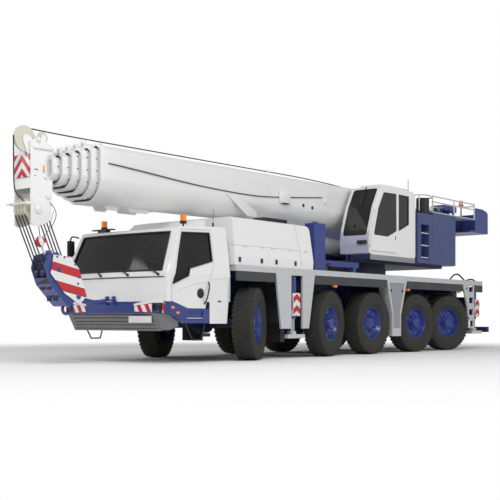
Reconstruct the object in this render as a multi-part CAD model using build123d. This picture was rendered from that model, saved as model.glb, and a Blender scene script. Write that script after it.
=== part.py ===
"""Five-axle mobile crane with a telescopic boom, as separate sub-parts.

Millimetres. +Z is up, -Y is the front and +X is the machine's left side. Every piece is drawn
with y measured from the first axle, and save() moves it so that the origin lies on the ground
under the middle of the machine.
"""
from build123d import *
from math import cos, hypot, radians, sin, tan
import os

# Whole machine
WIDTH = 2750
HALF = WIDTH / 2
REAR_Y = 9960                 # rear face of the underrun bar
GAP = 5                       # clear room between pieces that move past each other
SEAT = 0.3                    # room between a piece and what carries it

# Wheels and axles
TYRE_R = 675
TYRE_W = 385
TYRE_IN = 7.5                 # how far a tyre's outer side lies inside the machine's side
TYRE_X = HALF - TYRE_IN - TYRE_W / 2
RIM_R = 350
AXLE_Y = (0, 2450, 4100, 6050, 7700)
STEERED = (0, 1, 3, 4)        # axles with steering knuckles, counted from 0
STEER_DEG = (25, 11, 0, -9, -18)   # how far each axle is steered in the photo, left turn positive
CAPPED = (1, 3, 4)            # axles whose hubs carry a large cap
HUB_SEAT = 20                 # inner face of the wheel's disc, outward of the tyre's middle plane
DISC_T = 38
HUB_R = 150
HUB_OUT = 60
CAP_R = 112
CAP_OUT = 175
NUT_R = 17
NUT_RING = 190
NUTS = 10
KINGPIN_IN = 80               # from the kingpin to the tyre's middle plane
KINGPIN_X = TYRE_X - KINGPIN_IN
KINGPIN_R = 60
DRUM_R = 160
BEAM_HALF_H = 85
BEAM_HALF_W = 105
DIFF_R = 180
DIFF_HALF = 150
YOKE_IN = 140
YOKE_OUT = 40                 # how far a yoke plate reaches past the kingpin's axis
YOKE_GAP = 170                # half the height between the yoke's two plates
YOKE_T = 40
STRUT_X = 620
STRUT_R = 62
STRUT_TOP = 1250
STRUT_ARM_H = 110

# Chassis frame and outriggers
FRAME_HALF = 440
FRAME_Z = (950, 1600)
FRAME_Y = (-660, 9350)
NOSE_Y = -2100
NOSE_Z = (600, 930)
BOX_Z = (830, 1330)
BOX_WALL = 25
OUTRIGGER_Y = (1240, 9130)
BEAM_W = 340
JACK_IN = 140                 # from the machine's side to a jack's axis
JACK_X = HALF - JACK_IN
JACK_R = 95
JACK_ROD_R = 68
BOX_HALF_X = JACK_X - JACK_R - 40
JACK_Z = (770, 1590)
PAD_Z = (390, 465)
PAD_Y = 560
PAD_X = 250
BAR_Z = (420, 560)
BAR_T = 100
TOW_Y = 9600
TOW_BORE_R = 25.5
TOW_JAW_Z = (775, 985)
TOW_LIP = 55

# Deck and side bodywork
DECK_Z = (1700, 1740)
DECK_Y = (-600, 9420)
RAIL_Z = 1630
RAIL_T = 30
FENDER_Z = 1455
PANEL_T = 40
GUARD_Y = 830                 # front face of the mudguard behind the first wheel
GUARD_Z = (715, 1600)
BATTERY_Z = (320, 700)

# Carrier cab
CAB_HALF = 1300
CAB_TOP_HALF = 1185
CAB_BELT_Z = 1540
CAB_TOP_Z = 2420
CAB_FRONT_Y = -2415
CAB_CORNER = (1235, -2305)
CAB_SIDE_Y = -2240
CAB_REAR_Y = -690
CAB_SKIRT_Z = 680
CAB_FLOOR_Z = 1050
CAB_UNDER_Z = 1058            # underside in front of the doors' rear edge
CAB_WALL = 45
GLASS_T = 8
GLASS_IN = 12
ROOF_FALL = 80                # the roof falls this much towards the front
ROOF_BREAK_Y = -1880
WINDSCREEN_RAKE = 330 / 730   # how far the front leans back for each unit of height
DOOR_HINGE = (1306, -2208)
DOOR_PIN_R = 14
DOOR_OUTLINE = [(-2215, 1070), (-2215, 1340), (-1890, 2290), (-1120, 2325), (-1105, 1746), (-1241, 1462),
                (-1360, 945), (-1803, 945)]
DOOR_WINDOW = [(-2180, 1355), (-1865, 2240), (-1160, 2272), (-1150, 1775), (-1750, 1630), (-1795, 1500)]
BUMPER_Z = (860, 1050)
BUMPER_OUT = 12               # how far the bumper stands in front of the cab
STEP_LOW_Z = 690
LAMP_Y = -2295                # floor of the lamps' pockets in the bumper
BUMPER_LAMPS = ((1042, 960, 46), (1150, 985, 40), (1150, 900, 26))   # x, z and radius
STEP_REAR_Y = -1262

# Engine housing and what stands behind it
HOUSING_Y = (-620, 1800)
HOUSING_TOP_Y = (-500, 1900)
HOUSING_Z = 2625
HOUSING_KNEE_Z = 1900
HOUSING_HALF = HALF - 20
HOUSING_TOP_HALF = 1180
HOUSING_WALL = 30
SEAM = 6                      # width and depth of a seam between two covers
SEAM_Z = 2102
SEAM_Y = (370, 1409)
REST_Y = (850, 1110)
REST_GAP = 70                 # between the boom and what it lies over
TANK_Y = (2010, 2400)
TANK_X = (985, 1260)
TANK_Z = 2700

# Superstructure
SLEW_Y = 5300
SLEW_R = 800
RING_TOP_Z = DECK_Z[1] + 190
TABLE_Z = (2020, 2080)
TABLE_Y = (4250, 8000)
TABLE_HALF = 950
SIDE_PLATE_X = (505, 555)
BOOM_PIVOT = (7200, 3180)     # y, z
PIN_R = 70
LUFF_FOOT = (5500, 2330)
LUFF_HEAD = (2500, 2630)
LUFF_BARREL_R = 190
LUFF_ROD_R = 130
LUFF_EYE_R = 150
LUG_X = (150, 200)             # inner and outer face of a lug plate under the boom
WINCHES = ((8330, 3300), (8960, 3330))
WINCH_R = 190
WINCH_FLANGE_R = 262
WINCH_HALF = 430
TAIL_Y = 9840                 # front face of the tail guard
TAIL_T = 60
TAIL_Z = (3000, 3630)
TAIL_SIDE_Y = 9150            # front edge of the guard's side plates
TAIL_HALF = 1300
PLATFORM_T = 20
RAILING_Y = (6780, 9050)
RAILING_H = 390
RAILING_R = 17

# Crane cab on the left side
CC_IN = 65                    # from the machine's side to the cab's side
CC_X = (SIDE_PLATE_X[1] + 15, HALF - CC_IN)
CC_FLOOR_Z = 2200
CC_TOP_Z = 3710
CC_WALL = 40
CC_REAR_Y = 6000
CC_SILL_Z = 2085
CC_PROFILE = [(3975, CC_FLOOR_Z), (3945, 2420), (3985, 2700), (4180, 3230), (4440, CC_TOP_Z - 40),
              (4560, CC_TOP_Z), (5880, CC_TOP_Z), (CC_REAR_Y, CC_TOP_Z - 110), (CC_REAR_Y, CC_FLOOR_Z)]
CC_DOOR = [(4020, 2260), (4000, 2420), (4045, 2700), (4235, 3220), (4470, 3620), (5140, 3640), (5140, 2260)]
CC_DOOR_WINDOW = [(4105, 2600), (4300, 3200), (4525, 3565), (5085, 3580), (5095, 2740), (4700, 2590)]
CC_DOOR_T = 36
CC_SIDE_WINDOW = [(5250, 2775), (5250, 3575), (5675, 3575), (5675, 2940)]

# Ballast
BALLAST_Y = (6050, 8070)
BALLAST_Z = (TABLE_Z[1] + SEAT, 3310)
BALLAST_IN = SIDE_PLATE_X[1] + 65
BALLAST_OUT = HALF - 25
BALLAST_CUT = 120             # the outer corners are cut off, so that they pass the tank
LADDER_Y = (6200, 6590)
LADDER_Z = (2170, 2990)
LADDER_DEEP = 190
LADDER_STEPS = (2213, 2499, 2790)
RUNG_R = 16
DRUM_Y = (6450, 6760)
DRUM_TOP_Z = 3640
SLAB_T = 300                  # height of one ballast slab
SLAB_SEAM = 6

# Boom, drawn level and then turned nose down about its foot pin
BOOM_SLOPE = 0.62
BOOM_HALF_W = 460
BOOM_H = 930
BOOM_RISE = 120               # from the foot pin up to the boom's middle
BOOM_MID_Z = BOOM_PIVOT[1] + BOOM_RISE
SECTIONS = 6
COLLAR_Y = -3040
COLLAR_PITCH = 172
COLLAR_T = 90
COLLAR_OUT = 24
STEP_W = 37                   # each section is this much narrower on each side
STEP_H = 56
WALL = 14
SLEEVE_Y = -1240              # rear end of the base section's thicker front belly
SLEEVE_OUT = 20
BOOM_REAR_Y = 7540
BOOM_TAIL = BOOM_REAR_Y - BOOM_PIVOT[0]
BOOM_TAIL_R = hypot(BOOM_TAIL, BOOM_H / 2 + BOOM_RISE)
SECTION_REAR_Y = BOOM_PIVOT[0] - 320
HEAD_Y = -4270
HEAD_HALF = 190               # half the room between the head's cheek plates
CHEEK_T = 25
HEAD_RISE = 120               # the tilt brings the head down by this much
SHEAVE_R = 205
SHEAVE_T = 44
HEAD_SHEAVE = (-4130, 2500 + HEAD_RISE)
SHEAVE_X = (-120, -40, 40, 120)
HEAD_PLATE_Z = 2830 + HEAD_RISE
TOP_SHEAVE = (-4340, 3600 + HEAD_RISE)
TOP_SHEAVE_X = 150
BACK_SHEAVE = (-3990, 3655 + HEAD_RISE)
BACK_SHEAVE_R = 95
ROPE_R = 11
ROPE_SEAT = 4.1                # from a sheave's rim out to the middle of the rope in its groove
HOOK_PLATE = [(-3804, 1801), (-3467, 1785), (-3263, 1590), (-3100, 1141), (-3254, 1001), (-3581, 1186),
              (-3863, 1499)]
HOOK_CASE = [(-3903, 1790), (-3700, 1850), (-3640, 1790), (-3330, 1080), (-3420, 960), (-3500, 975),
             (-3852, 1318), (-3962, 1582)]
HOOK_HALF = 200               # half the width over the hook block's side plates
HOOK_PLATE_T = 20
HOOK_SHEAVE = (-3690, 1560)
HOOK_EYE = (-3372, 925)
HOOK_RING_R = 78
HOOK_BAR_R = 27

SIDES = (("left", 1), ("right", -1))


def turned(y, z):
    """A point (y, z) of the level boom after the boom's tilt."""
    a = radians(BOOM_SLOPE)
    dy = y - BOOM_PIVOT[0]
    dz = z - BOOM_PIVOT[1]
    return BOOM_PIVOT[0] + dy * cos(a) - dz * sin(a), BOOM_PIVOT[1] + dy * sin(a) + dz * cos(a)


# Front tip of the top sheave, and the middle between it and the rear bar
FRONT_Y = turned(*TOP_SHEAVE)[0] - SHEAVE_R
MIDDLE_Y = (FRONT_Y + REAR_Y) / 2


def soft_face(points, radii):
    """Face from (a, b) points, each corner rounded by its radius; a radius of 0 leaves it sharp."""
    ends = []
    edges = []
    for i, point in enumerate(points):
        corner = Vector(*point)
        if not radii[i]:
            ends.append((corner, corner))
            continue
        back = (Vector(*points[i - 1]) - corner).normalized()
        ahead = (Vector(*points[(i + 1) % len(points)]) - corner).normalized()
        half = radians(back.get_angle(ahead)) / 2
        first = corner + back * (radii[i] / tan(half))
        last = corner + ahead * (radii[i] / tan(half))
        inward = (back + ahead).normalized()
        middle = corner + inward * (radii[i] / sin(half) - radii[i])
        edges.append(ThreePointArc(first, middle, last))
        ends.append((first, last))
    for i, (_, last) in enumerate(ends):
        first = ends[(i + 1) % len(ends)][0]
        if (first - last).length > 0.001:
            edges.append(Line(last, first))
    return make_face(edges)


def outline(points, radii=None):
    """Face from (a, b) points, with rounded corners where radii maps a corner's number to a radius."""
    if not radii:
        return make_face(Polyline(*points, close=True))
    return soft_face(points, [radii.get(i, 0) for i in range(len(points))])


def block(x, y, z):
    """Box between two values on each axis."""
    return Pos((x[0] + x[1]) / 2, (y[0] + y[1]) / 2, (z[0] + z[1]) / 2) * Box(
        abs(x[1] - x[0]), abs(y[1] - y[0]), abs(z[1] - z[0]))


def side_prism(points, x0, x1, radii=None):
    """Solid between x0 and x1 with an outline of (y, z) points."""
    return extrude(Plane.YZ.offset(x0) * outline(points, radii), amount=x1 - x0)


def front_prism(points, y0, y1, radii=None):
    """Solid between y0 and y1 with an outline of (x, z) points."""
    plane = Plane(origin=(0, y1, 0), x_dir=(1, 0, 0), z_dir=(0, -1, 0))
    return extrude(plane * outline(points, radii), amount=y1 - y0)


def plan_prism(points, z0, z1, radii=None):
    """Solid between z0 and z1 with an outline of (x, y) points."""
    return extrude(Plane.XY.offset(z0) * outline(points, radii), amount=z1 - z0)


def rod(start, end, radius):
    """Cylinder between two points."""
    axis = Vector(*end) - Vector(*start)
    plane = Plane(origin=start, z_dir=axis)
    return extrude(plane * Circle(radius), amount=axis.length)


def cross_rod(half, y, z, radius):
    """Cylinder across the machine, from -half to half."""
    return rod((-half, y, z), (half, y, z), radius)


def pipe(start, end, radius, bore):
    """Tube between two points."""
    axis = Vector(*end) - Vector(*start)
    plane = Plane(origin=start, z_dir=axis)
    return extrude(plane * (Circle(radius) - Circle(bore)), amount=axis.length)


def bent_rod(points, radius):
    """Round bar through several points, with a ball at each bend."""
    body = rod(points[0], points[1], radius)
    for start, end in zip(points[1:], points[2:]):
        body += Pos(*start) * Sphere(radius) + rod(start, end, radius)
    return body


def mirrored(shape):
    """The same shape on the machine's other side."""
    return mirror(shape, about=Plane.YZ)


def on_side(shape, side):
    """A left-hand shape, mirrored where side is -1."""
    return shape if side > 0 else mirrored(shape)


def pair(shape):
    """A left-hand shape and its mirror image."""
    return [shape, mirrored(shape)]


def save(name, *pieces):
    """Write one node: its solids, moved into the machine's own frame."""
    solids = []
    for piece in pieces:
        for item in piece if isinstance(piece, (list, tuple)) else [piece]:
            solids.extend(item.solids())
    body = Compound(solids).moved(Location((0, -MIDDLE_Y, 0)))
    export_step(body, f"parts/{name}.step")


# Wheels, knuckles and axles

def wheel(capped):
    """Tyre and rim around the X axis, outer face towards +X."""
    half = TYRE_W / 2
    bead = half - 62
    tread = half - 42
    bulge = RIM_R + (TYRE_R - RIM_R) / 2
    with BuildSketch(Plane.XZ) as section:
        with BuildLine():
            ThreePointArc((bead, RIM_R), (half, bulge), (half - 12, TYRE_R - 45))
            ThreePointArc((half - 12, TYRE_R - 45), (half - 19, TYRE_R - 17), (tread, TYRE_R - 6))
            ThreePointArc((tread, TYRE_R - 6), (0, TYRE_R), (-tread, TYRE_R - 6))
            ThreePointArc((-tread, TYRE_R - 6), (19 - half, TYRE_R - 17), (12 - half, TYRE_R - 45))
            ThreePointArc((12 - half, TYRE_R - 45), (-half, bulge), (-bead, RIM_R))
            Line((-bead, RIM_R), (bead, RIM_R))
        make_face()
    tyre = revolve(section.sketch, axis=Axis.X)
    face = HUB_SEAT + DISC_T
    hub = [(face + HUB_OUT, 0), (face + HUB_OUT, 70), (face + 40, HUB_R)]
    if capped:
        hub = [(CAP_OUT, 0), (CAP_OUT, CAP_R - 12), (CAP_OUT - 12, CAP_R), (face + 40, CAP_R), (face + 30, HUB_R)]
    dish = [(face, HUB_R), (face, NUT_RING + 40), (face + 30, RIM_R - 60), (bead - 16, RIM_R - 32), (bead - 2, RIM_R),
            (2 - bead, RIM_R), (16 - bead, RIM_R - 32), (HUB_SEAT - 20, RIM_R - 62), (HUB_SEAT, NUT_RING + 60),
            (HUB_SEAT, 0)]
    rim = revolve(Plane.XZ * make_face(Polyline(*hub, *dish, close=True)), axis=Axis.X)
    nut = rod((face - 3, 0, NUT_RING), (face + 26, 0, NUT_RING), NUT_R)
    for i in range(NUTS):
        rim += Rot(X=360 / NUTS * i) * nut
    return [tyre, rim]


def knuckle():
    """Kingpin, neck and brake drum of one steered wheel, around the kingpin's own axis."""
    hub = KINGPIN_IN + HUB_SEAT - SEAT
    pin_half = YOKE_GAP - SEAT
    pin = rod((0, 0, -pin_half), (0, 0, pin_half), KINGPIN_R)
    neck = block((0, KINGPIN_R + 30), (-70, 70), (-80, 80))
    drum = rod((KINGPIN_R + 20, 0, 0), (hub, 0, 0), DRUM_R)
    arm = block((-40, 40), (30, 230), (-120, -60))
    return pin + neck + drum + arm


def axle(steered):
    """One axle beam across the machine, centred on the wheels' axis."""
    inner = KINGPIN_X - YOKE_IN
    end = TYRE_X + HUB_SEAT - SEAT
    body = block((-inner, inner), (-BEAM_HALF_W, BEAM_HALF_W), (-BEAM_HALF_H, BEAM_HALF_H))
    body += rod((0, -DIFF_HALF, 0), (0, DIFF_HALF, 0), DIFF_R)
    reach = YOKE_GAP + YOKE_T
    for side in (1, -1):
        if steered:
            body += block((side * (inner - 50), side * inner), (-60, 60), (-reach, reach))
            for low, high in ((YOKE_GAP, reach), (-reach, -YOKE_GAP)):
                body += block((side * (inner - 50), side * (KINGPIN_X + YOKE_OUT)), (-60, 60), (low, high))
        else:
            body += rod((side * (inner - 50), 0, 0), (side * end, 0, 0), DRUM_R)
        body += rod((side * STRUT_X, 0, 0), (side * STRUT_X, 0, STRUT_TOP - TYRE_R), STRUT_R)
    return body


def build_running_gear():
    """Every wheel, knuckle and axle."""
    left_wheels = {True: wheel(True), False: wheel(False)}
    left_knuckle = knuckle()
    axles = []
    for number, y in enumerate(AXLE_Y):
        axles.append(Pos(0, y, TYRE_R) * axle(number in STEERED))
        for name, side in SIDES:
            steer = Pos(side * KINGPIN_X, y, TYRE_R) * Rot(Z=STEER_DEG[number])
            pieces = [Pos(side * KINGPIN_IN, 0, 0) * on_side(item, side) for item in left_wheels[number in CAPPED]]
            save(f"wheel_{number + 1}_{name}", [steer * item for item in pieces])
            if number in STEERED:
                save(f"knuckle_{number + 1}_{name}", steer * on_side(left_knuckle, side))
    save("axles", axles)


# Chassis, deck and side bodywork

def outrigger_box_half():
    """Half the length of an outrigger box along the machine."""
    return BEAM_W / 2 + GAP + BOX_WALL


def beam_slots():
    """Low and high z of the two stacked channels in an outrigger box, upper one first."""
    middle = (BOX_Z[0] + BOX_Z[1]) / 2
    return ((middle + BOX_WALL / 2, BOX_Z[1] - BOX_WALL), (BOX_Z[0] + BOX_WALL, middle - BOX_WALL / 2))


def build_chassis():
    """Box frame with the outriggers' housings, suspension brackets, slewing seat and tow jaw."""
    across = (-FRAME_HALF, FRAME_HALF)
    step_y = FRAME_Y[0] + 400
    frame = block(across, FRAME_Y, FRAME_Z)
    frame += block(across, (NOSE_Y, step_y), NOSE_Z)
    frame += block(across, (FRAME_Y[0], step_y), (NOSE_Z[1], FRAME_Z[0]))
    for side in (1, -1):
        mount_x = (side * (FRAME_HALF - 180), side * (FRAME_HALF - 20))
        frame += block(mount_x, (NOSE_Y + 50, NOSE_Y + 200), (NOSE_Z[1] - 10, CAB_UNDER_Z - SEAT))
        frame += block(mount_x, (-1180, -1030), (NOSE_Z[1] - 10, CAB_FLOOR_Z - SEAT))
        for y in AXLE_Y:
            frame += block((side * (FRAME_HALF - 10), side * (STRUT_X + STRUT_R + 13)), (y - 90, y + 90),
                           (STRUT_TOP, STRUT_TOP + STRUT_ARM_H))
    half_w = outrigger_box_half()
    for y in OUTRIGGER_Y:
        frame += block((-BOX_HALF_X, BOX_HALF_X), (y - half_w, y + half_w), BOX_Z)
    for y in OUTRIGGER_Y:
        for low, high in beam_slots():
            frame -= block((-BOX_HALF_X - 1, BOX_HALF_X + 1), (y - half_w + BOX_WALL, y + half_w - BOX_WALL),
                           (low, high))
    frame += Pos(0, SLEW_Y, 0) * rod((0, 0, FRAME_Z[1] - 50), (0, 0, RING_TOP_Z), SLEW_R)
    # cross members that carry the deck
    for y in (-450, 2080, 3300, 6900, 8600):
        frame += block((-HALF + 125, HALF - 125), (y - 40, y + 40), (FRAME_Z[1] - 60, DECK_Z[0]))
    frame += rear_bar(OUTRIGGER_Y[1] + half_w)
    save("chassis_frame", frame)


def rear_bar(front):
    """Underrun bar with its arms, and the tow jaw."""
    bar_y = REAR_Y - BAR_T
    high, low = BAR_Z[1] - 20, BAR_Z[0] + 20
    arm = [(front - 10, 1050), (bar_y + 10, high), (bar_y + 10, low), (bar_y - 80, low), (front - 10, 850)]
    body = block((75 - HALF, HALF - 75), (bar_y, REAR_Y), BAR_Z)
    for side in (1, -1):
        body += side_prism(arm, side * 560, side * 600)
    low, high = TOW_JAW_Z
    body += block((-120, 120), (FRAME_Y[1] - 30, TOW_Y - 100), (low - 15, high + 15))
    for z in ((high - TOW_LIP, high), (low, low + TOW_LIP)):
        body += block((-90, 90), (TOW_Y - 110, TOW_Y + 60), z)
    return body - rod((0, TOW_Y, low - 50), (0, TOW_Y, high + 50), TOW_BORE_R)


def build_deck():
    """Chequer plate deck with its hanging rail and the dark strips over the wheels."""
    deck = block((-HALF, HALF), DECK_Y, (RAIL_Z, DECK_Z[1]))
    deck -= block((RAIL_T - HALF, HALF - RAIL_T), (DECK_Y[0] + RAIL_T, DECK_Y[1] - RAIL_T), (RAIL_Z - 1, DECK_Z[0]))
    deck -= Pos(0, SLEW_Y, 0) * rod((0, 0, RAIL_Z), (0, 0, DECK_Z[1] + 1), SLEW_R + GAP)
    strips = []
    for span in ((DECK_Y[0], 560), (1850, 4610), (5510, 8300), (8970, DECK_Y[1])):
        strips += pair(block((HALF - RAIL_T, HALF), span, (FENDER_Z, RAIL_Z)))
    # mudguards behind the first wheels, each with the box that hangs under it
    guard = block((FRAME_HALF + SEAT, HALF - 45), (GUARD_Y, GUARD_Y + 40), (BATTERY_Z[1] - 5, FENDER_Z))
    guard += block((815, 1277), (GUARD_Y, OUTRIGGER_Y[0] - PAD_Y / 2 - GAP), BATTERY_Z)
    save("deck", deck, strips, pair(guard))


FRONT_PANEL = [(564, RAIL_Z), (1844, RAIL_Z), (1638, 577), (733, 577)]
LOCKER = [(4620, RAIL_Z), (5500, RAIL_Z), (5230, 850), (5230, 380), (4850, 380), (4850, 850)]
REAR_PANEL = [(8310, RAIL_Z), (8940, RAIL_Z), (8940, 535), (8600, 535), (8590, 1000)]


def build_side_panels():
    """White side panels: the front bays, the lockers by the middle and the rear legs."""
    across = (HALF - PANEL_T, HALF)
    front = side_prism(FRONT_PANEL, *across)
    window = BEAM_W / 2 + GAP + 12
    y = OUTRIGGER_Y[0]
    front -= block((across[0] - 1, HALF + 1), (y - window, y + window), (500, JACK_Z[1] + 15))
    locker = side_prism(LOCKER, HALF - 240, HALF)
    inset = [(4720, RAIL_Z - 60), (5400, RAIL_Z - 60), (5190, 900), (5190, 560), (4890, 560), (4890, 900)]
    locker -= side_prism(inset, HALF - 12, HALF + 1)
    rear = side_prism(REAR_PANEL, *across)
    for low in (575, 870, 1165, 1455):
        rear -= block((across[0] - 1, HALF + 1), (8655, 8890), (low, low + 145))
    save("side_panels", pair(front) + pair(locker) + pair(rear))


def build_outriggers():
    """Four beams with their jacks, the left ones in the upper channels."""
    for place, y in zip(("front", "rear"), OUTRIGGER_Y):
        span = (y - BEAM_W / 2, y + BEAM_W / 2)
        bottom, top = (JACK_X, y, JACK_Z[0]), (JACK_X, y, JACK_Z[1])
        for (name, side), (low, high) in zip(SIDES, beam_slots()):
            beam = block((60 - BOX_HALF_X, JACK_X - JACK_R + 30), span, (low + SEAT, high - GAP))
            beam -= rod(bottom, top, JACK_R - 10)
            tube = pipe(bottom, top, JACK_R, JACK_ROD_R + SEAT)
            # collar around the tube that carries the warning board
            tube += block((JACK_X + 40, HALF - 20), (y - 120, y + 120), (820, 1270)) - rod(bottom, top, JACK_R - 5)
            save(f"outrigger_beam_{place}_{name}", on_side(beam + tube, side))
            leg = rod((JACK_X, y, PAD_Z[1]), (JACK_X, y, JACK_Z[1] - 60), JACK_ROD_R)
            leg += rod((JACK_X, y, PAD_Z[1] - 10), (JACK_X, y, PAD_Z[1] + 60), JACK_ROD_R + 25)
            leg += block((JACK_X - PAD_X / 2, JACK_X + PAD_X / 2), (y - PAD_Y / 2, y + PAD_Y / 2), PAD_Z)
            save(f"outrigger_jack_{place}_{name}", on_side(leg, side))


# Carrier cab

def cab_body(inset):
    """The carrier cab's outer form, or the same form with every wall moved in by inset."""
    half = CAB_HALF - inset
    corner_x = CAB_CORNER[0] - inset
    corner_y = CAB_CORNER[1] + inset
    side_y = CAB_SIDE_Y + inset
    behind = CAB_REAR_Y + 700
    bulge = ((corner_x + half) / 2 + 14, (corner_y + side_y) / 2 - 14)
    with BuildSketch() as plan:
        with BuildLine():
            ThreePointArc((-corner_x, corner_y), (0, CAB_FRONT_Y + inset), (corner_x, corner_y))
            ThreePointArc((corner_x, corner_y), bulge, (half, side_y))
            Polyline((half, side_y), (half, behind), (-half, behind), (-half, side_y))
            ThreePointArc((-half, side_y), (-bulge[0], bulge[1]), (-corner_x, corner_y))
        make_face()
    low = extrude(Plane.XY.offset(CAB_SKIRT_Z - 60) * plan.sketch, amount=CAB_BELT_Z - CAB_SKIRT_Z + 60)
    lean = Vector(0, WINDSCREEN_RAKE, 1)
    high = extrude(Plane.XY.offset(CAB_BELT_Z) * plan.sketch, amount=1000 * lean.length, dir=lean.normalized())
    rear = CAB_REAR_Y - inset
    top = CAB_TOP_Z - inset
    low_z = CAB_SKIRT_Z - 60
    side_line = [(-2600, low_z), (rear - 100, low_z), (rear, CAB_BELT_Z), (rear, top),
                 (ROOF_BREAK_Y, top - ROOF_FALL), (-2600, top - ROOF_FALL - 160)]
    profile = side_prism(side_line, -CAB_HALF, CAB_HALF, {3: 50 - inset / 2, 4: 600})
    top_half = CAB_TOP_HALF - inset
    front_line = [(-half, low_z), (half, low_z), (half, CAB_BELT_Z), (top_half, top), (-top_half, top),
                  (-half, CAB_BELT_Z)]
    soft = 85 - inset
    front = front_prism(front_line, -2700, 0, {3: soft, 4: soft})
    return (low + high) & profile & front


def door_prism(grow):
    """Solid through the left wall of the cab, the door's outline made larger by grow."""
    face = make_face(Polyline(*DOOR_OUTLINE, close=True))
    if grow:
        face = offset(face, amount=grow, kind=Kind.INTERSECTION)
    return extrude(Plane.YZ.offset(700) * face, amount=700)


def hinge_pins(radius):
    """The two round hinge pins of the left door."""
    x, y = DOOR_HINGE[0], DOOR_HINGE[1]
    return rod((x, y, 1100), (x, y, 1170), radius) + rod((x, y, 1265), (x, y, 1335), radius)


def screen_prisms():
    """Solids through the cab's front and rear walls where the two screens are."""
    screen = front_prism([(-1165, 1580), (1165, 1580), (1085, 2245), (-1085, 2245)], -2700, -1750,
                         {0: 40, 1: 40, 2: 60, 3: 60})
    rear = front_prism([(-900, 1700), (900, 1700), (860, 2200), (-860, 2200)], CAB_REAR_Y - 250, CAB_REAR_Y + 300)
    return screen, rear


def build_carrier_cab():
    """Hollow cab with its screen, doors and door glass."""
    outer = cab_body(0)
    lined = cab_body(CAB_WALL)
    inner_half = CAB_HALF - CAB_WALL - 10
    floor_top = CAB_FLOOR_Z + CAB_WALL
    # open the wheel's arch behind the cab, and the room below the floor
    cuts = [block((-inner_half, inner_half), (-2700, 100), (400, CAB_FLOOR_Z)),
            block((-1400, 1400), (-2700, -1250), (400, CAB_UNDER_Z)),
            block((-inner_half, inner_half), (CAB_REAR_Y - 130, 100), (400, 1480)),
            block((-1400, 1400), (-2700, 100), (400, CAB_SKIRT_Z))]
    room = lined - block((-2000, 2000), (-3000, 100), (0, floor_top))
    room -= block((-2000, 2000), (CAB_REAR_Y - 190, 100), (0, 3000))
    shell = outer - room
    for cut in cuts:
        shell -= cut
    # rebate behind each door's edge
    ring = (cab_body(CAB_WALL - 15) - cab_body(CAB_WALL + 22)) & door_prism(28)
    ring -= door_prism(-25)
    ring -= block((0, 2000), (-2700, -1000), (400, CAB_FLOOR_Z))
    # room for the door's inner corner, which swings inwards beside the hinge
    swing = block((CAB_HALF - CAB_WALL - 12, CAB_HALF - CAB_WALL), (DOOR_HINGE[1] - 20, DOOR_HINGE[1] + 50),
                  (DOOR_OUTLINE[0][1] - 30, DOOR_OUTLINE[1][1] + 60))
    ring -= swing
    pocket = (outer - cab_body(CAB_WALL + SEAT)) & door_prism(GAP)
    pins = hinge_pins(DOOR_PIN_R)
    notch = hinge_pins(DOOR_PIN_R + GAP)
    for side in (1, -1):
        shell += on_side(ring, side)
        shell -= on_side(pocket + notch, side)
        shell -= on_side(swing, side)
    screen, rear_window = screen_prisms()
    shell -= screen
    shell -= rear_window
    save("carrier_cab", shell)
    band = cab_body(GLASS_IN) - cab_body(GLASS_IN + GLASS_T)
    rear_band = block((-1200, 1200), (CAB_REAR_Y - 150, CAB_REAR_Y - 142), (1600, 2300))
    save("carrier_cab_glass", band & screen, rear_band & rear_window)
    door = (outer - lined) & door_prism(0)
    window = side_prism(DOOR_WINDOW, 700, 1400, {0: 25, 1: 30, 2: 30, 3: 30, 4: 20, 5: 20})
    pane = band & window
    door = door - window + pins
    for name, side in SIDES:
        save(f"carrier_door_{name}", on_side(door, side))
        save(f"carrier_door_glass_{name}", on_side(pane, side))


def build_cab_interior():
    """Two seats, the dashboard, the steering wheel and the driver's console."""
    floor = CAB_FLOOR_Z + CAB_WALL
    dash = side_prism([(-2225, floor), (-2225, 1500), (-2050, 1560), (-1960, 1480), (-1980, floor)], -1080, 1080,
                      {1: 30, 2: 40, 3: 30})
    pieces = [dash]
    for x in (-650, 650):
        cushion = side_prism([(-1640, floor), (-1640, floor + 330), (-1120, floor + 330), (-1120, floor)],
                             x - 240, x + 240, {1: 50})
        back = [(-1230, floor + 325), (-1120, floor + 325), (-1000, floor + 1000), (-1090, floor + 1000)]
        pieces.append(cushion + side_prism(back, x - 230, x + 230, {2: 40, 3: 40}))
    column = rod((650, -2000, 1400), (650, -1790, 1640), 28)
    plane = Plane(origin=(650, -1790, 1640), z_dir=(0, 210, 240))
    ring = plane * Torus(225, 16)
    spoke = plane * Box(450, 40, 14)
    pieces.append(column + ring + spoke)
    save("carrier_cab_interior", pieces)


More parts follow.
